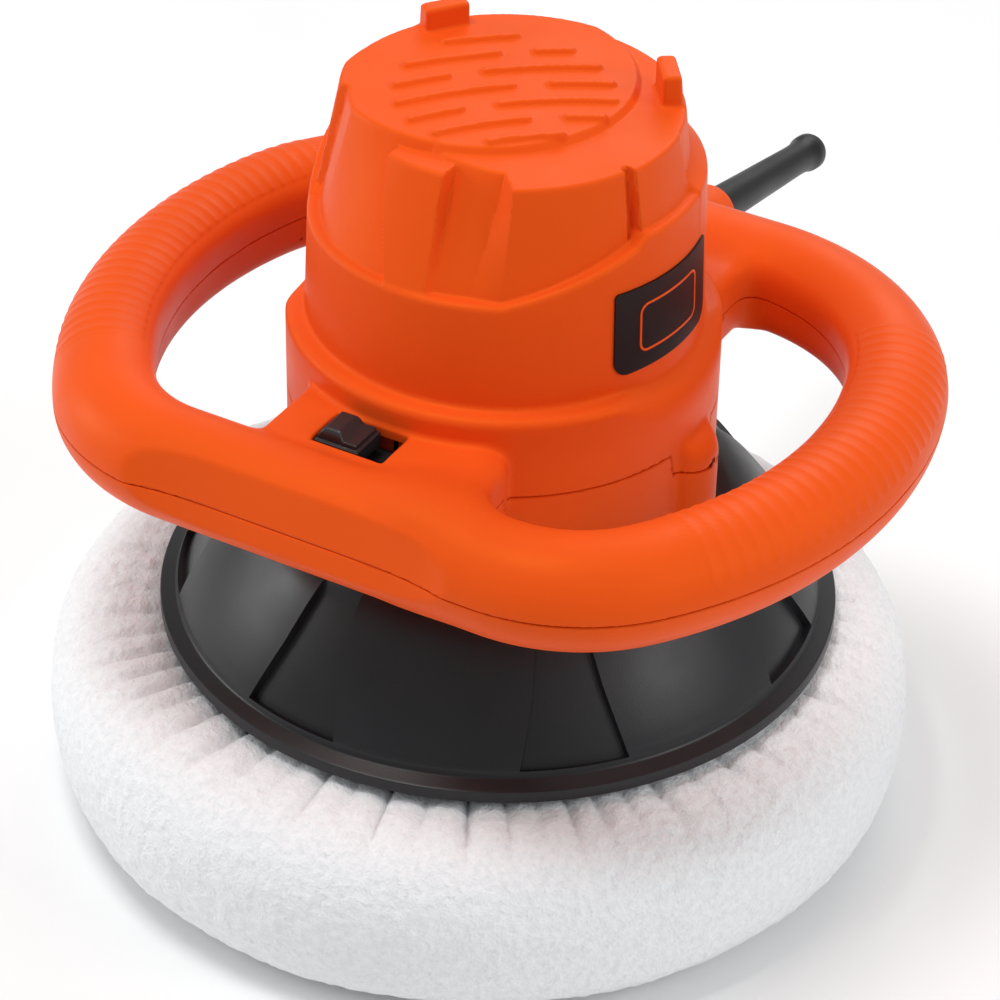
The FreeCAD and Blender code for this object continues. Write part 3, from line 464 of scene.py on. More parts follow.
def slope(field, points, reach=0.06):
    """The field's gradient by central differences."""
    answer = np.empty_like(points)
    for axis in range(3):
        shift = np.zeros(3)
        shift[axis] = reach
        ahead, behind = points + shift, points - shift
        answer[:, axis] = (field(*ahead.T) - field(*behind.T)) / (2 * reach)
    return answer


def settle(field, points, reach):
    """Move points along the gradient onto the surface, no further than reach."""
    for _ in range(3):
        gradient = slope(field, points)
        move = -field(*points.T)[:, None] * gradient / np.maximum((gradient ** 2).sum(1), 0.25)[:, None]
        length = np.linalg.norm(move, axis=1)[:, None]
        points = points + move * np.minimum(1, reach / np.maximum(length, 1e-9))
    return points


def mesh_object(name, points, faces, normals=None):
    mesh = bpy.data.meshes.new(name)
    mesh.from_pydata((np.asarray(points) * MM).tolist(), [], [list(face) for face in faces])
    mesh.update()
    mesh.shade_smooth()
    if normals is not None:
        mesh.normals_split_custom_set_from_vertices(normals.tolist())
    thing = bpy.data.objects.new(name, mesh)
    bpy.context.scene.collection.objects.link(thing)
    return thing


def cast(name, field, axes):
    """A closed mesh of the field's inside on a grid of three axes, its normals taken from the field."""
    points, quads = surface_net(sample(field, axes))
    points = np.stack([np.interp(points[:, i], np.arange(len(axis)), axis) for i, axis in enumerate(axes)],
                      axis=1)
    points = settle(field, points, 0.5)
    normals = slope(field, points)
    normals /= np.maximum(np.linalg.norm(normals, axis=1), 1e-9)[:, None]
    return mesh_object(name, points, quads, normals)


def graded(*spans):
    """Grid lines with their own spacing in each span: (start, spacing) pairs, closed by the last start."""
    lines = []
    for (start, spacing), (end, _) in zip(spans, spans[1:]):
        parts = max(1, round((end - start) / spacing))
        lines.append(np.linspace(start, end, parts, endpoint=False))
    return np.concatenate(lines + [[spans[-1][0]]])


# ---- materials ----

def material(name, colour, roughness, **sockets):
    """A principled material with constants on its sockets; returns it and its nodes."""
    made = bpy.data.materials.new(name)
    made.use_nodes = True
    nodes, links = made.node_tree.nodes, made.node_tree.links
    shader = nodes["Principled BSDF"]
    shader.inputs["Base Color"].default_value = (*colour, 1)
    shader.inputs["Roughness"].default_value = roughness
    for socket, amount in sockets.items():
        shader.inputs[socket.replace("_", " ")].default_value = amount
    return made, nodes, links, shader


def noise(nodes, links, scale, detail=3.0, stretch=(1, 1, 1)):
    """A noise texture in object space, its scale in features per metre."""
    place = nodes.new("ShaderNodeTexCoord")
    mapping = nodes.new("ShaderNodeMapping")
    mapping.inputs["Scale"].default_value = stretch
    texture = nodes.new("ShaderNodeTexNoise")
    texture.inputs["Scale"].default_value = scale
    texture.inputs["Detail"].default_value = detail
    links.new(place.outputs["Object"], mapping.inputs["Vector"])
    links.new(mapping.outputs["Vector"], texture.inputs["Vector"])
    return texture.outputs["Fac"]


def ramp(nodes, links, source, stops):
    """Colours or greys against a 0 to 1 source: (place, colour) pairs."""
    made = nodes.new("ShaderNodeValToRGB")
    elements = made.color_ramp.elements
    while len(elements) < len(stops):
        elements.new(0.5)
    for element, (place, colour) in zip(elements, stops):
        element.position = place
        element.color = (*colour, 1) if hasattr(colour, "__len__") else (colour, colour, colour, 1)
    links.new(source, made.inputs["Fac"])
    return made.outputs["Color"]


def bump(nodes, links, shader, source, distance, strength=1.0, below=None):
    made = nodes.new("ShaderNodeBump")
    made.inputs["Distance"].default_value = distance
    made.inputs["Strength"].default_value = strength
    links.new(source, made.inputs["Height"])
    if below is not None:
        links.new(below, made.inputs["Normal"])
    links.new(made.outputs["Normal"], shader.inputs["Normal"])
    return made.outputs["Normal"]


def tint(colour, share):
    return tuple(min(1.0, channel * share) for channel in colour)


def moulded_plastic(name, colour, roughness=0.4, grain=2600, depth=0.00003, spread=0.06, **sockets):
    """Satin moulding: slight flow shading, patchy gloss and a fine spark-eroded grain."""
    made, nodes, links, shader = material(name, colour, roughness, **sockets)
    flow = noise(nodes, links, 22, 2)
    shade = ramp(nodes, links, flow, ((0.3, tint(colour, 1 - spread)), (0.7, tint(colour, 1 + spread))))
    links.new(shade, shader.inputs["Base Color"])
    patches = noise(nodes, links, 60, 4)
    gloss = ramp(nodes, links, patches, ((0.3, roughness * 0.88), (0.7, min(1, roughness * 1.14))))
    links.new(gloss, shader.inputs["Roughness"])
    bump(nodes, links, shader, noise(nodes, links, grain, 2), depth)
    return made


def wound_wire(name, colour, turns_per_metre=900, axis="Z"):
    made, nodes, links, shader = material(name, colour, 0.3, Metallic=1.0)
    place = nodes.new("ShaderNodeTexCoord")
    wave = nodes.new("ShaderNodeTexWave")
    wave.bands_direction = axis
    wave.inputs["Scale"].default_value = turns_per_metre / 20
    wave.inputs["Distortion"].default_value = 0.6
    links.new(place.outputs["Object"], wave.inputs["Vector"])
    # the dark bands are painted shade in the grooves between the turns of wire, laid where the bump sinks
    shade = ramp(nodes, links, wave.outputs["Fac"], ((0.1, tint(colour, 0.45)), (0.6, colour)))
    links.new(shade, shader.inputs["Base Color"])
    bump(nodes, links, shader, wave.outputs["Fac"], 0.0004)
    return made


def machined_metal(name, colour, roughness=0.28, stretch=(1, 1, 40)):
    """Turned or ground metal with fine tool marks."""
    made, nodes, links, shader = material(name, colour, roughness, Metallic=1.0)
    marks = noise(nodes, links, 400, 4, stretch)
    shade = ramp(nodes, links, marks, ((0.3, tint(colour, 0.82)), (0.7, tint(colour, 1.08))))
    links.new(shade, shader.inputs["Base Color"])
    gloss = ramp(nodes, links, marks, ((0.3, roughness * 0.8), (0.7, roughness * 1.3)))
    links.new(gloss, shader.inputs["Roughness"])
    bump(nodes, links, shader, marks, 0.00003)
    return made


def cast_metal(name, colour, roughness=0.55):
    made, nodes, links, shader = material(name, colour, roughness, Metallic=1.0)
    grain = noise(nodes, links, 700, 5)
    shade = ramp(nodes, links, grain, ((0.3, tint(colour, 0.75)), (0.7, tint(colour, 1.1))))
    links.new(shade, shader.inputs["Base Color"])
    bump(nodes, links, shader, grain, 0.00015)
    return made


def terry(name, colour):
    """White cotton pile: soft close loops, with a little shade between them."""
    made, nodes, links, shader = material(name, colour, 0.95, Sheen_Weight=0.4, Sheen_Roughness=0.5,
                                          Subsurface_Weight=0.3, Subsurface_Radius=(0.0025, 0.0025, 0.0025),
                                          Subsurface_Scale=1.0, Specular_IOR_Level=0.1)
    fine = noise(nodes, links, 1300, 3)
    coarse = noise(nodes, links, 480, 2)
    both = nodes.new("ShaderNodeMath")
    both.operation = "MULTIPLY_ADD"
    links.new(fine, both.inputs[0])
    both.inputs[1].default_value = 0.6
    links.new(coarse, both.inputs[2])
    shade = ramp(nodes, links, both.outputs["Value"], ((0.5, tint(colour, 0.9)), (0.95, colour)))
    links.new(shade, shader.inputs["Base Color"])
    bump(nodes, links, shader, both.outputs["Value"], 0.0009, 0.8)
    return made


def foam(name, colour):
    made, nodes, links, shader = material(name, colour, 0.9)
    cells = nodes.new("ShaderNodeTexVoronoi")
    cells.inputs["Scale"].default_value = 900
    place = nodes.new("ShaderNodeTexCoord")
    links.new(place.outputs["Object"], cells.inputs["Vector"])
    # the dark spots at the cell centres are painted shade in the pores, laid where the bump sinks them
    shade = ramp(nodes, links, cells.outputs["Distance"], ((0.1, tint(colour, 0.5)), (0.6, colour)))
    links.new(shade, shader.inputs["Base Color"])
    bump(nodes, links, shader, cells.outputs["Distance"], 0.0005)
    return made


ORANGE = (0.8, 0.088, 0.01)
COPPER = (0.72, 0.26, 0.1)

FINISHES = {
    "orange_abs": moulded_plastic("orange_abs", ORANGE, 0.45, spread=0.03, Specular_IOR_Level=0.22,
                                  Specular_Tint=(1.0, 0.42, 0.03, 1.0)),
    "black_abs": moulded_plastic("black_abs", (0.009, 0.009, 0.011), 0.37, spread=0.15,
                                 Specular_IOR_Level=0.4),
    "switch_black": moulded_plastic("switch_black", (0.014, 0.014, 0.016), 0.38, 3500, spread=0.15),
    "guard_pvc": moulded_plastic("guard_pvc", (0.007, 0.007, 0.008), 0.42, 1800, spread=0.2,
                                 Specular_IOR_Level=0.35),
    "badge_film": moulded_plastic("badge_film", (0.004, 0.004, 0.005), 0.42, 4000, 0.00001, 0.2,
                                  Specular_IOR_Level=0.25),
    "terry_white": terry("terry_white", (0.9, 0.92, 0.94)),
    "elastic_white": terry("elastic_white", (0.7, 0.7, 0.69)),
    "foam_grey": foam("foam_grey", (0.3, 0.3, 0.32)),
    "plate_black": moulded_plastic("plate_black", (0.02, 0.02, 0.023), 0.5, spread=0.15),
    "inner_nylon": moulded_plastic("inner_nylon", (0.05, 0.05, 0.055), 0.5, spread=0.15),
    "fan_nylon": moulded_plastic("fan_nylon", (0.5, 0.5, 0.46), 0.45),
    "boot_rubber": moulded_plastic("boot_rubber", (0.01, 0.01, 0.01), 0.7, 1500, 0.00006),
    "bright_steel": machined_metal("bright_steel", (0.62, 0.62, 0.64)),
    "bearing_steel": machined_metal("bearing_steel", (0.72, 0.72, 0.74), 0.16),
    "laminations": machined_metal("laminations", (0.34, 0.34, 0.36), 0.42, (0.2, 0.2, 60)),
    "enamelled_copper": wound_wire("enamelled_copper", COPPER),
    "commutator_copper": machined_metal("commutator_copper", (0.75, 0.4, 0.22), 0.25, (30, 30, 1)),
    "brass_plain": machined_metal("brass_plain", (0.78, 0.6, 0.28), 0.3, (10, 1, 1)),
    "carbon_block": cast_metal("carbon_block", (0.05, 0.05, 0.052), 0.6),
    "spring_steel": machined_metal("spring_steel", (0.5, 0.5, 0.52), 0.3, (50, 50, 1)),
    "zinc_casting": cast_metal("zinc_casting", (0.42, 0.42, 0.44)),
    "screw_zinc": machined_metal("screw_zinc", (0.6, 0.6, 0.63), 0.3, (5, 5, 60)),
    "capacitor_film": moulded_plastic("capacitor_film", (0.5, 0.3, 0.03), 0.3),
    "lead_pvc": moulded_plastic("lead_pvc", (0.4, 0.02, 0.015), 0.4),
}


def finish(piece, body, slot, *nodes):
    """Give a piece its material and its body, and hide any CAD nodes that it stands for."""
    piece.data.materials.clear()
    piece.data.materials.append(FINISHES[slot])
    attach(piece, body)
    if nodes:
        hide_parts(*nodes)
    return piece


def dress_frame():
    """Every carried-over CAD node gets its slot's material."""
    for subpart in frame["record"]["subparts"]:
        thing = frame["nodes"][subpart["node"]]
        thing.data.materials.clear()
        thing.data.materials.append(FINISHES[subpart["material_slot"]])


# ---- lofted pieces ----

def lofted(name, rings, closed=True):
    """A closed mesh through round rings of points: the last meets the first, or else both ends are capped."""
    count, around = len(rings), len(rings[0])
    points = np.concatenate(rings)
    rows = np.arange(count if closed else count - 1)[:, None] * around
    ahead_rows = (np.arange(1, len(rows) + 1) % count)[:, None] * around
    column = np.arange(around)[None, :]
    beside = (column + 1) % around
    faces = np.stack([rows + column, rows + beside, ahead_rows + beside, ahead_rows + column], axis=-1)
    faces = faces.reshape(-1, 4).tolist()
    if not closed:
        points = np.vstack([points, rings[0].mean(axis=0), rings[-1].mean(axis=0)])
        start, end, last = len(points) - 2, len(points) - 1, (count - 1) * around
        for here in range(around):
            ahead = (here + 1) % around
            faces += [(start, ahead, here), (end, last + here, last + ahead)]
    return mesh_object(name, points, faces)


def smooth_line(corners, steps=6):
    """A curve through the corners (Catmull-Rom), with that many steps between each pair."""
    corners = np.array(corners, float)
    padded = np.vstack([2 * corners[0] - corners[1], corners, 2 * corners[-1] - corners[-2]])
    share = np.linspace(0, 1, steps, endpoint=False)[:, None]
    line = []
    for a, b, c, d in zip(padded, padded[1:], padded[2:], padded[3:]):
        line.append(0.5 * (2 * b + (c - a) * share + (2 * a - 5 * b + 4 * c - d) * share ** 2
                           + (3 * b - a - 3 * c + d) * share ** 3))
    return np.vstack(line + [corners[-1:]])


def lattice(seed, count=64):
    return np.random.default_rng(seed).random((count, count, count))


def value_noise(points, scale, seed):
    """Smooth noise from 0 to 1 in space; scale is the size of its lumps in millimetres."""
    table = lattice(seed)
    place = points / scale
    whole = np.floor(place).astype(int)
    part = place - whole
    part = part * part * (3 - 2 * part)
    answer = np.zeros(len(points))
    for corner in range(8):
        offset = np.array([corner & 1, corner >> 1 & 1, corner >> 2 & 1])
        weight = np.prod(np.where(offset, part, 1 - part), axis=1)
        answer += weight * table[tuple(((whole + offset) % len(table)).T)]
    return answer


# ---- skirt ----

RELIEFS, RELIEF_TURN, RELIEF_DEPTH = 7, 4.2, 2.2
RELIEF_HALF = ((66, 9.6), (84, 6.9), (101, 5.2))
SKIRT_WALL = ((92.6, 67), (89.4, 73), (83.6, 82), (76.2, 92), (71, 97.6), (66, 101.2), (60, 103.2))


def skirt_turns(height):
    """Turns round the skirt at a height, closest at the edges of each relief, which narrows upwards."""
    half = np.interp(height, *np.array(RELIEF_HALF).T)
    pitch = 360 / RELIEFS
    turns = []
    for relief in range(RELIEFS):
        middle = relief * pitch + RELIEF_TURN
        turns += [middle + q for q in np.linspace(-half + 0.25, half - 0.25, 16)]
        turns += [middle + q for q in np.linspace(half, pitch - half, 30)]
    return np.radians(turns)


def skirt():
    sunk = np.tile(np.repeat([1.0, 0.0], [16, 30]), RELIEFS)
    radius, floor, top = (SKIRT_HIGH[0] - SKIRT_LOW[0]) / 2, SKIRT_LOW[2], SKIRT_HIGH[2]
    rim = [(radius, floor + 0.3), (radius, floor + 3.0), (radius - 0.2, floor + 3.6),
           (radius - 0.7, floor + 3.9), (radius - 4.2, floor + 4.8), (radius - 4.6, floor + 5.1),
           (radius - 4.9, floor + 5.6)]
    wall = smooth_line(SKIRT_WALL, 5)
    outline = [(r, z, 0.0) for r, z in rim] + [(92.75, 66.7, 0.0), (92.7, 66.9, 1.0)]
    outline += [(r, z, 1 - step(95, 101, z)) for r, z in wall[1:]]
    outline += [(56, top, 0.0), (46.5, top, 0.0), (46, top - 0.4, 0.0)]
    outline += [(46, top - 2.1, 0.0), (46.5, top - 2.5, 0.0), (59, top - 2.6, 0.0)]
    outline += [(r - 2.0, z - 1.7, 1 - step(95, 101, z)) for r, z in wall[-2:0:-3]]
    outline += [(radius - 6.6, floor + 4.5, 0.0), (radius - 6, floor + 2.6, 0.0),
                (radius - 5.9, floor + 0.3, 0.0), (radius - 5.6, floor, 0.0), (radius - 0.3, floor, 0.0)]
    rings = []
    for r, z, share in outline:
        turns = skirt_turns(z)
        depth = RELIEF_DEPTH * share * sunk
        reach = r - depth * 0.85
        rings.append(np.stack([reach * np.cos(turns), reach * np.sin(turns), z - depth * 0.5], axis=1))
    piece = lofted("skirt_shell", rings)
    sharpen(piece, 32)
    return finish(piece, "housing", "black_abs", "skirt")


def sharpen(piece, limit):
    """Edges that bend by more than limit degrees are shaded as edges."""
    piece.data.set_sharp_from_angle(angle=math.radians(limit))


# ---- pad ----

BONNET_AROUND, BONNET_EDGE = 760, 27
# how many puckers draw in the bonnet's top, and how full its rounded side stands
PUCKERS = 62
FULLNESS = 0.78


def bonnet():
    """The terry bonnet: a rounded side, its top drawn in with puckers under the skirt, open in the middle."""
    rng = np.random.default_rng(11)
    top = BONNET_HIGH[2]
    half = top / 2
    edge = BONNET_RADIUS - BONNET_EDGE
    sweep = np.radians(np.linspace(-90, 90, 100))
    outer = [(r, 0.35) for r in np.linspace(2, edge - 2, 26)]
    outer += [(edge + 26.2 * math.cos(a) ** FULLNESS,
               half + (half - 0.35) * math.copysign(abs(math.sin(a)) ** FULLNESS, a)) for a in sweep]
    outer += [(r, top - 0.1) for r in (98.6, 97.2, 95.8, 94.2, 92.6, 91.2)]
    outer += [(90.4, top - 0.5), (90.0, top - 1.3), (90.0, top - 2.4), (90.6, top - 3.3)]
    inner = [(edge + 22.6 * math.cos(a), half + (half - 4) * math.sin(a)) for a in sweep[::-8]]
    inner += [(r, 4) for r in (80, 50, 20, 2)]
    turns = np.arange(BONNET_AROUND) * math.tau / BONNET_AROUND
    phase = rng.random(4) * math.tau
    wander = turns * PUCKERS + 1.1 * np.sin(turns * 9 + phase[0]) + 1.5 * np.sin(turns * 4 + phase[1])
    second = turns * 37 + 1.4 * np.sin(turns * 7 + phase[2])
    pleat = -(1 - np.abs(np.sin(wander / 2))) ** 1.6
    depth_of = 0.55 + 0.45 * np.sin(second) * np.sin(turns * 13 + phase[3])
    rings, lift = [], []
    for index, (r, z) in enumerate(outer + inner):
        rings.append(np.stack([PAD_X + r * np.cos(turns), PAD_Y + r * np.sin(turns), np.full_like(turns, z)],
                              axis=1))
        lift.append(1.0 if index < len(outer) else 0.0)
    points = np.concatenate(rings)
    count = len(turns)
    radial = np.hypot(points[:, 0] - PAD_X, points[:, 1] - PAD_Y)
    level = points[:, 2]
    turn_of = np.tile(np.arange(count), len(rings))
    outside = np.repeat(lift, count) > 0
    upper = outside & (level > half)
    drawn = upper * step(123, 99, radial)
    fold = (pleat[turn_of] * depth_of[turn_of] + 0.1) * drawn * 3.6
    centre = np.array([PAD_X, PAD_Y, half])
    out = points - centre
    out[:, :2] *= np.minimum(1, np.maximum(radial - edge, 0)[:, None] / np.maximum(radial, 1)[:, None])
    normal = out / np.maximum(np.linalg.norm(out, axis=1), 1e-6)[:, None]
    on_side = outside & (radial > 88) & (level > 1)
    tufts = value_noise(points, 2.4, 3) * 1.1 + value_noise(points, 1.7, 5) * 0.7
    lumps = value_noise(points, 22, 6) - 0.5
    pile = (tufts - 0.9) * 0.55 + lumps * 0.8
    room = step(0.4, 6, level)
    points = points + normal * (pile * on_side * room + fold)[:, None]
    points[:, 2] = np.where(outside & (radial < 105), np.minimum(points[:, 2], 59.4), points[:, 2])
    points[:, 2] = np.maximum(points[:, 2], 0.05)
    piece = lofted("terry_bonnet", [points[i * count:(i + 1) * count] for i in range(len(rings))], False)
    finish(piece, "pad", "terry_white", "bonnet")



def foam_pad():
    """The foam inside the bonnet, with a recess in its top for the bolt's head."""
    low, high = node_box("foam_pad")
    edge, half = BONNET_RADIUS - BONNET_EDGE, BONNET_HIGH[2] / 2
    side = [(edge + 22.2 * math.cos(a), half + (half - 4.6) * math.sin(a))
            for a in np.radians(np.linspace(-90, 90, 49))]
    outline = [(r, low[2] + 0.3) for r in (2, 30, 60, 85)] + [(r, z) for r, z in side if z < high[2]]
    outline += [(r, high[2]) for r in (112, 90, 50, 15)]
    outline += [(14, high[2] - 1), (14, high[2] - 7), (2, high[2] - 7)]
    turns = np.arange(160) * math.tau / 160
    rings = [np.stack([PAD_X + r * np.cos(turns), PAD_Y + r * np.sin(turns), np.full_like(turns, z)], axis=1)
             for r, z in outline]
    piece = lofted("pad_foam", rings, False)
    sharpen(piece, 40)
    finish(piece, "pad", "foam_grey", "foam_pad")


# ---- cord guard ----

def cord_guard():
    """The bend guard: a flange inside the snout, a long tapered sleeve and a flared, rounded lip."""
    sleeve = [(-6, 9.1), (-3.1, 9.1), (-3, 6.5), (6, 6.5), (20, 6.45), (46, 6.1), (80, 5.5), (106, 5.05),
              (111, 5.1), (114, 5.35), (115.6, 5.8), (116.6, 6.0), (119.6, 6.0), (120.6, 5.6), (121, 4.9),
              (121, 4.1), (120.6, 3.7)]
    outline = sleeve + [(60, 3.62), (-6, 3.62)]
    turns = np.arange(56) * math.tau / 56
    rings = []
    for along, radius in outline:
        side, rise = radius * np.cos(turns), radius * np.sin(turns)
        y = GUARD_START[0] + along * math.cos(GUARD_DROOP) + rise * math.sin(GUARD_DROOP)
        z = GUARD_START[1] - along * math.sin(GUARD_DROOP) + rise * math.cos(GUARD_DROOP)
        rings.append(np.stack([side, y, z], axis=1))
    piece = lofted("cord_sleeve", rings)
    sharpen(piece, 40)
    return finish(piece, "housing", "guard_pvc", "cord_guard")


# ---- switch ----

def knob_field(x, y, z):
    """The slide's cap: a base, a tall hump with sloping ends and a low tread beside it."""
    left, middle = KNOB_LOW[0], (KNOB_LOW[1] + KNOB_HIGH[1]) / 2
    top = KNOB_HIGH[2]
    u, v = x - left, y - middle
    base_block = block(u, v, z, ((0, 13.4), (-6.15, 6.15), (top - 8.2, top - 3.8)), 0.4)
    hump = block(u, v, z, ((0.6, 9.2), (-5.3, 5.3), (top - 5, top)), 0.3)
    hump = smooth_max(hump, (z - top) * 0.75 - u + 2.6, 0.5)
    hump = smooth_max(hump, (z - top) * 0.6 + u - 7.2, 0.6)
    hump = smooth_max(hump, (z - top) * 0.8 + np.abs(v) - 4.4, 0.6)
    tread = block(u, v, z, ((8, 12.6), (-5.3, 5.3), (top - 5, top - 2.3)), 0.4)
    cap = smooth_min(base_block, smooth_min(hump, tread, 0.5), 0.4)
    stem = block(u, v, z, ((2, 8), (-2.1, 2.1), (KNOB_LOW[2], top - 4)), 0.3)
    return smooth_min(cap, stem, 0.3)


def switch_knob():
    axes = [graded((low - 1, 0.3), (high + 1, 0)) for low, high in zip(KNOB_LOW, KNOB_HIGH)]
    piece = cast("slide_cap", knob_field, axes)
    return finish(piece, "switch", "switch_black", "switch_knob")


# ---- badge ----

def curved_plate(name, first, last, low, high, radius, lift, thick, corner_low, corner_high):
    """A plate bent round the collar, with rounded corners; turns in degrees, the rest in millimetres."""
    rows = np.concatenate([low + corner_low * (1 - np.cos(np.linspace(0, math.pi / 2, 9))),
                           np.linspace(low + corner_low, high - corner_high, 12)[1:-1],
                           high - corner_high * (1 - np.cos(np.linspace(math.pi / 2, 0, 9)))])
    columns = np.linspace(0, 1, 60)
    sheets = []
    for reach in (lift, lift + thick):
        rings = []
        for z in rows:
            under = max(low + corner_low - z, 0) / max(corner_low, 1e-6)
            over = max(z - high + corner_high, 0) / max(corner_high, 1e-6)
            pull = corner_low * (1 - math.sqrt(max(0, 1 - under ** 2)))
            pull += corner_high * (1 - math.sqrt(max(0, 1 - over ** 2)))
            pull_turn = math.degrees(pull / radius)
            turns = np.radians(first + pull_turn + (last - first - 2 * pull_turn) * columns)
            wall = COLLAR_RADIUS - COLLAR_TAPER * (z - SHOULDER) + reach
            rings.append(np.stack([wall * np.cos(turns), wall * np.sin(turns), np.full_like(turns, z)],
                                  axis=1))
        sheets.append(rings)
    height, width = len(rows), len(columns)
    points = np.concatenate(sheets[0] + sheets[1])
    faces = []
    total = height * width

    def at(sheet, row, column):
        return sheet * total + row * width + column

    for row in range(height - 1):
        for column in range(width - 1):
            faces.append((at(0, row, column), at(0, row + 1, column), at(0, row + 1, column + 1),
                          at(0, row, column + 1)))
            faces.append((at(1, row, column), at(1, row, column + 1), at(1, row + 1, column + 1),
                          at(1, row + 1, column)))
    for row in range(height - 1):
        faces.append((at(0, row, 0), at(1, row, 0), at(1, row + 1, 0), at(0, row + 1, 0)))
        faces.append((at(0, row, width - 1), at(0, row + 1, width - 1), at(1, row + 1, width - 1),
                      at(1, row, width - 1)))
    for column in range(width - 1):
        faces.append((at(0, 0, column), at(0, 0, column + 1), at(1, 0, column + 1), at(1, 0, column)))
        faces.append((at(0, height - 1, column), at(1, height - 1, column), at(1, height - 1, column + 1),
                      at(0, height - 1, column + 1)))
    piece = mesh_object(name, points, faces)
    sharpen(piece, 40)
    return piece


def badge():
    plate = curved_plate("badge_plate", -29, 15, 163.7, 188.8, BADGE_RADIUS, 0.03, 0.62, 4.5, 1.2)
    finish(plate, "housing", "badge_film", "badge")
    frame_line = outline_band("badge_line", (-20.5, 6.5), (168.6, 183.4), 3.0, 0.7)
    finish(frame_line, "housing", "orange_abs")


def outline_band(name, turns, heights, corner, width):
    """A thin raised band in a rounded rectangle on the badge."""
    middle_turn = math.radians(sum(turns) / 2)
    half_long = math.radians(turns[1] - turns[0]) / 2 * BADGE_RADIUS
    middle, half_high = sum(heights) / 2, (heights[1] - heights[0]) / 2
    rings = []
    for inset, reach in ((0, 0.5), (0, 0.76), (width, 0.76), (width, 0.5)):
        ring = []
        for quarter in range(4):
            for share in np.linspace(0, math.pi / 2, 9):
                turn = quarter * math.pi / 2 + share
                sign_s = 1 if quarter in (0, 3) else -1
                sign_z = 1 if quarter in (0, 1) else -1
                s = sign_s * (half_long - corner) + (corner - inset) * math.cos(turn)
                z = middle + sign_z * (half_high - corner) + (corner - inset) * math.sin(turn)
                wall = COLLAR_RADIUS - COLLAR_TAPER * (z - SHOULDER) + reach
                angle = middle_turn + s / BADGE_RADIUS
                ring.append((wall * math.cos(angle), wall * math.sin(angle), z))
        rings.append(densify(np.array(ring)))
    return lofted(name, rings)


def densify(ring):
    """More points on the ring's long runs, laid back onto their cylinder."""
    following = np.roll(ring, -1, axis=0)
    answer = []
    for here, ahead in zip(ring, following):
        parts = 10 if np.linalg.norm(ahead - here) > 4 else 1
        for share in np.arange(parts) / parts:
            point = here + (ahead - here) * share
            reach = np.hypot(*here[:2]) * (1 - share) + np.hypot(*ahead[:2]) * share
            point[:2] *= reach / np.hypot(*point[:2])
            answer.append(point)
    return np.array(answer)


def housing_grid(upper):
    """Grid lines for one housing half: close in the tower and at the seams, wider elsewhere."""
    fine, wide = ((0.75, 1.15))
    across = graded((UPPER_LOW[0] - 2, wide), (-54, fine), (54, wide), (UPPER_HIGH[0] + 2, 0))
    if upper:
        deep = graded((UPPER_LOW[1] - 2, wide), (-54, fine), (54, wide), (UPPER_HIGH[1] + 2, 0))
        tall = graded((SIDE_SEAM - 1, 0.5), (SIDE_SEAM + 2, 1.0), (BODY_SEAM - 1, 0.5), (BODY_SEAM + 1, 1.0),
                      (RING_Z - 0.9, 0.3), (RING_Z + 1.2, 1.1), (DECK_TOP - 3, 0.75), (DECK_TOP + 1.5, 1.1),
                      (LEDGE - 3, fine), (TABS_TOP + 2, 0))
    else:
        deep = graded((LOWER_LOW[1] - 2, wide), (LOWER_HIGH[1] + 2, 0))
        tall = graded((BODY_FLOOR - 2, 0.75), (BODY_FLOOR + 2, 1.15), (SIDE_SEAM - 1.2, 0.4),
                      (SIDE_SEAM + 1.2, 1.1), (BODY_SEAM - 1.2, 0.4), (BODY_SEAM + 1.2, 1.1),
                      (RING_Z - 1.5, 0.3), (RING_Z + 1.2, 0))
    return across, deep, tall


def main():
    dress_frame()
    upper = cast("upper_casing", upper_half, housing_grid(True))
    finish(upper, "housing", "orange_abs", "upper_housing")
    lower = cast("lower_casing", lower_half, housing_grid(False))
    finish(lower, "housing", "orange_abs", "lower_housing")
    skirt()
    foam_pad()
    bonnet()
    cord_guard()
    switch_knob()
    badge()


# ---- floor, light and camera ----

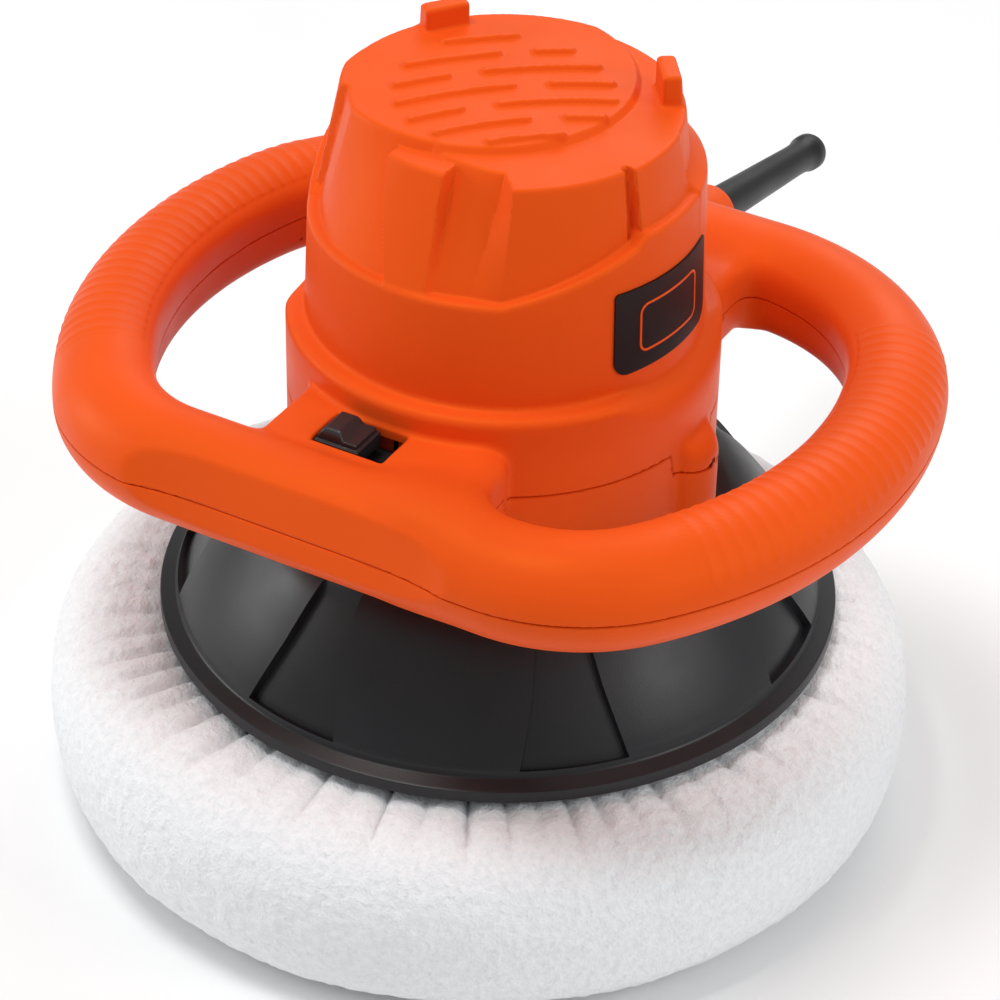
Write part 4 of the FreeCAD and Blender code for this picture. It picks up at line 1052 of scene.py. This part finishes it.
AIM = Vector((0, 0, 0.1))
AZIMUTH, ELEVATION = math.radians(29), math.radians(34.9)
DISTANCE = 1.0
RISE_IN_VIEW = 0.0077
ROLL = math.radians(1.3)


def camera():
    data = bpy.data.cameras.new("camera")
    data.sensor_width, data.lens = 36, 126.4
    thing = bpy.data.objects.new("camera", data)
    back = Vector((math.sin(AZIMUTH) * math.cos(ELEVATION), -math.cos(AZIMUTH) * math.cos(ELEVATION),
                   math.sin(ELEVATION)))
    thing.location = AIM + DISTANCE * back
    upright = Vector((0, 0, 1)) - back * back.z
    target = AIM - upright.normalized() * RISE_IN_VIEW
    turn = (target - thing.location).to_track_quat("-Z", "Y")
    thing.rotation_euler = (turn.to_matrix() @ Matrix.Rotation(ROLL, 3, "Z")).to_euler()
    bpy.context.scene.collection.objects.link(thing)
    bpy.context.scene.camera = thing


def area_light(name, place, size, power):
    data = bpy.data.lights.new(name, "AREA")
    data.size, data.energy = size, power
    thing = bpy.data.objects.new(name, data)
    thing.location = place
    thing.rotation_euler = (AIM - Vector(place)).to_track_quat("-Z", "Y").to_euler()
    bpy.context.scene.collection.objects.link(thing)


def studio():
    made, nodes, links, shader = material("studio_floor", (0.9, 0.9, 0.9), 0.7)
    mottle = ramp(nodes, links, noise(nodes, links, 6, 2), ((0.3, 0.88), (0.7, 0.92)))
    links.new(mottle, shader.inputs["Base Color"])
    half = 3000
    floor = mesh_object("floor", [(-half, -half, -0.2), (half, -half, -0.2), (half, half, -0.2),
                                  (-half, half, -0.2)], [(0, 1, 2, 3)])
    floor.data.materials.append(made)
    area_light("key", (-0.2, -0.3, 1.6), 0.5, 11)
    area_light("left", (-1.4, -0.5, 0.6), 0.6, 7)
    area_light("right", (1.3, 0.1, 0.8), 0.7, 6)
    area_light("back", (-0.2, 1.3, 1.1), 0.9, 6)
    world = bpy.data.worlds.new("studio")
    world.use_nodes = True
    world.node_tree.nodes["Background"].inputs["Color"].default_value = (1, 1, 1, 1)
    world.node_tree.nodes["Background"].inputs["Strength"].default_value = 0.44
    bpy.context.scene.world = world
    bpy.context.scene.view_settings.view_transform = "Standard"


main()
studio()
camera()
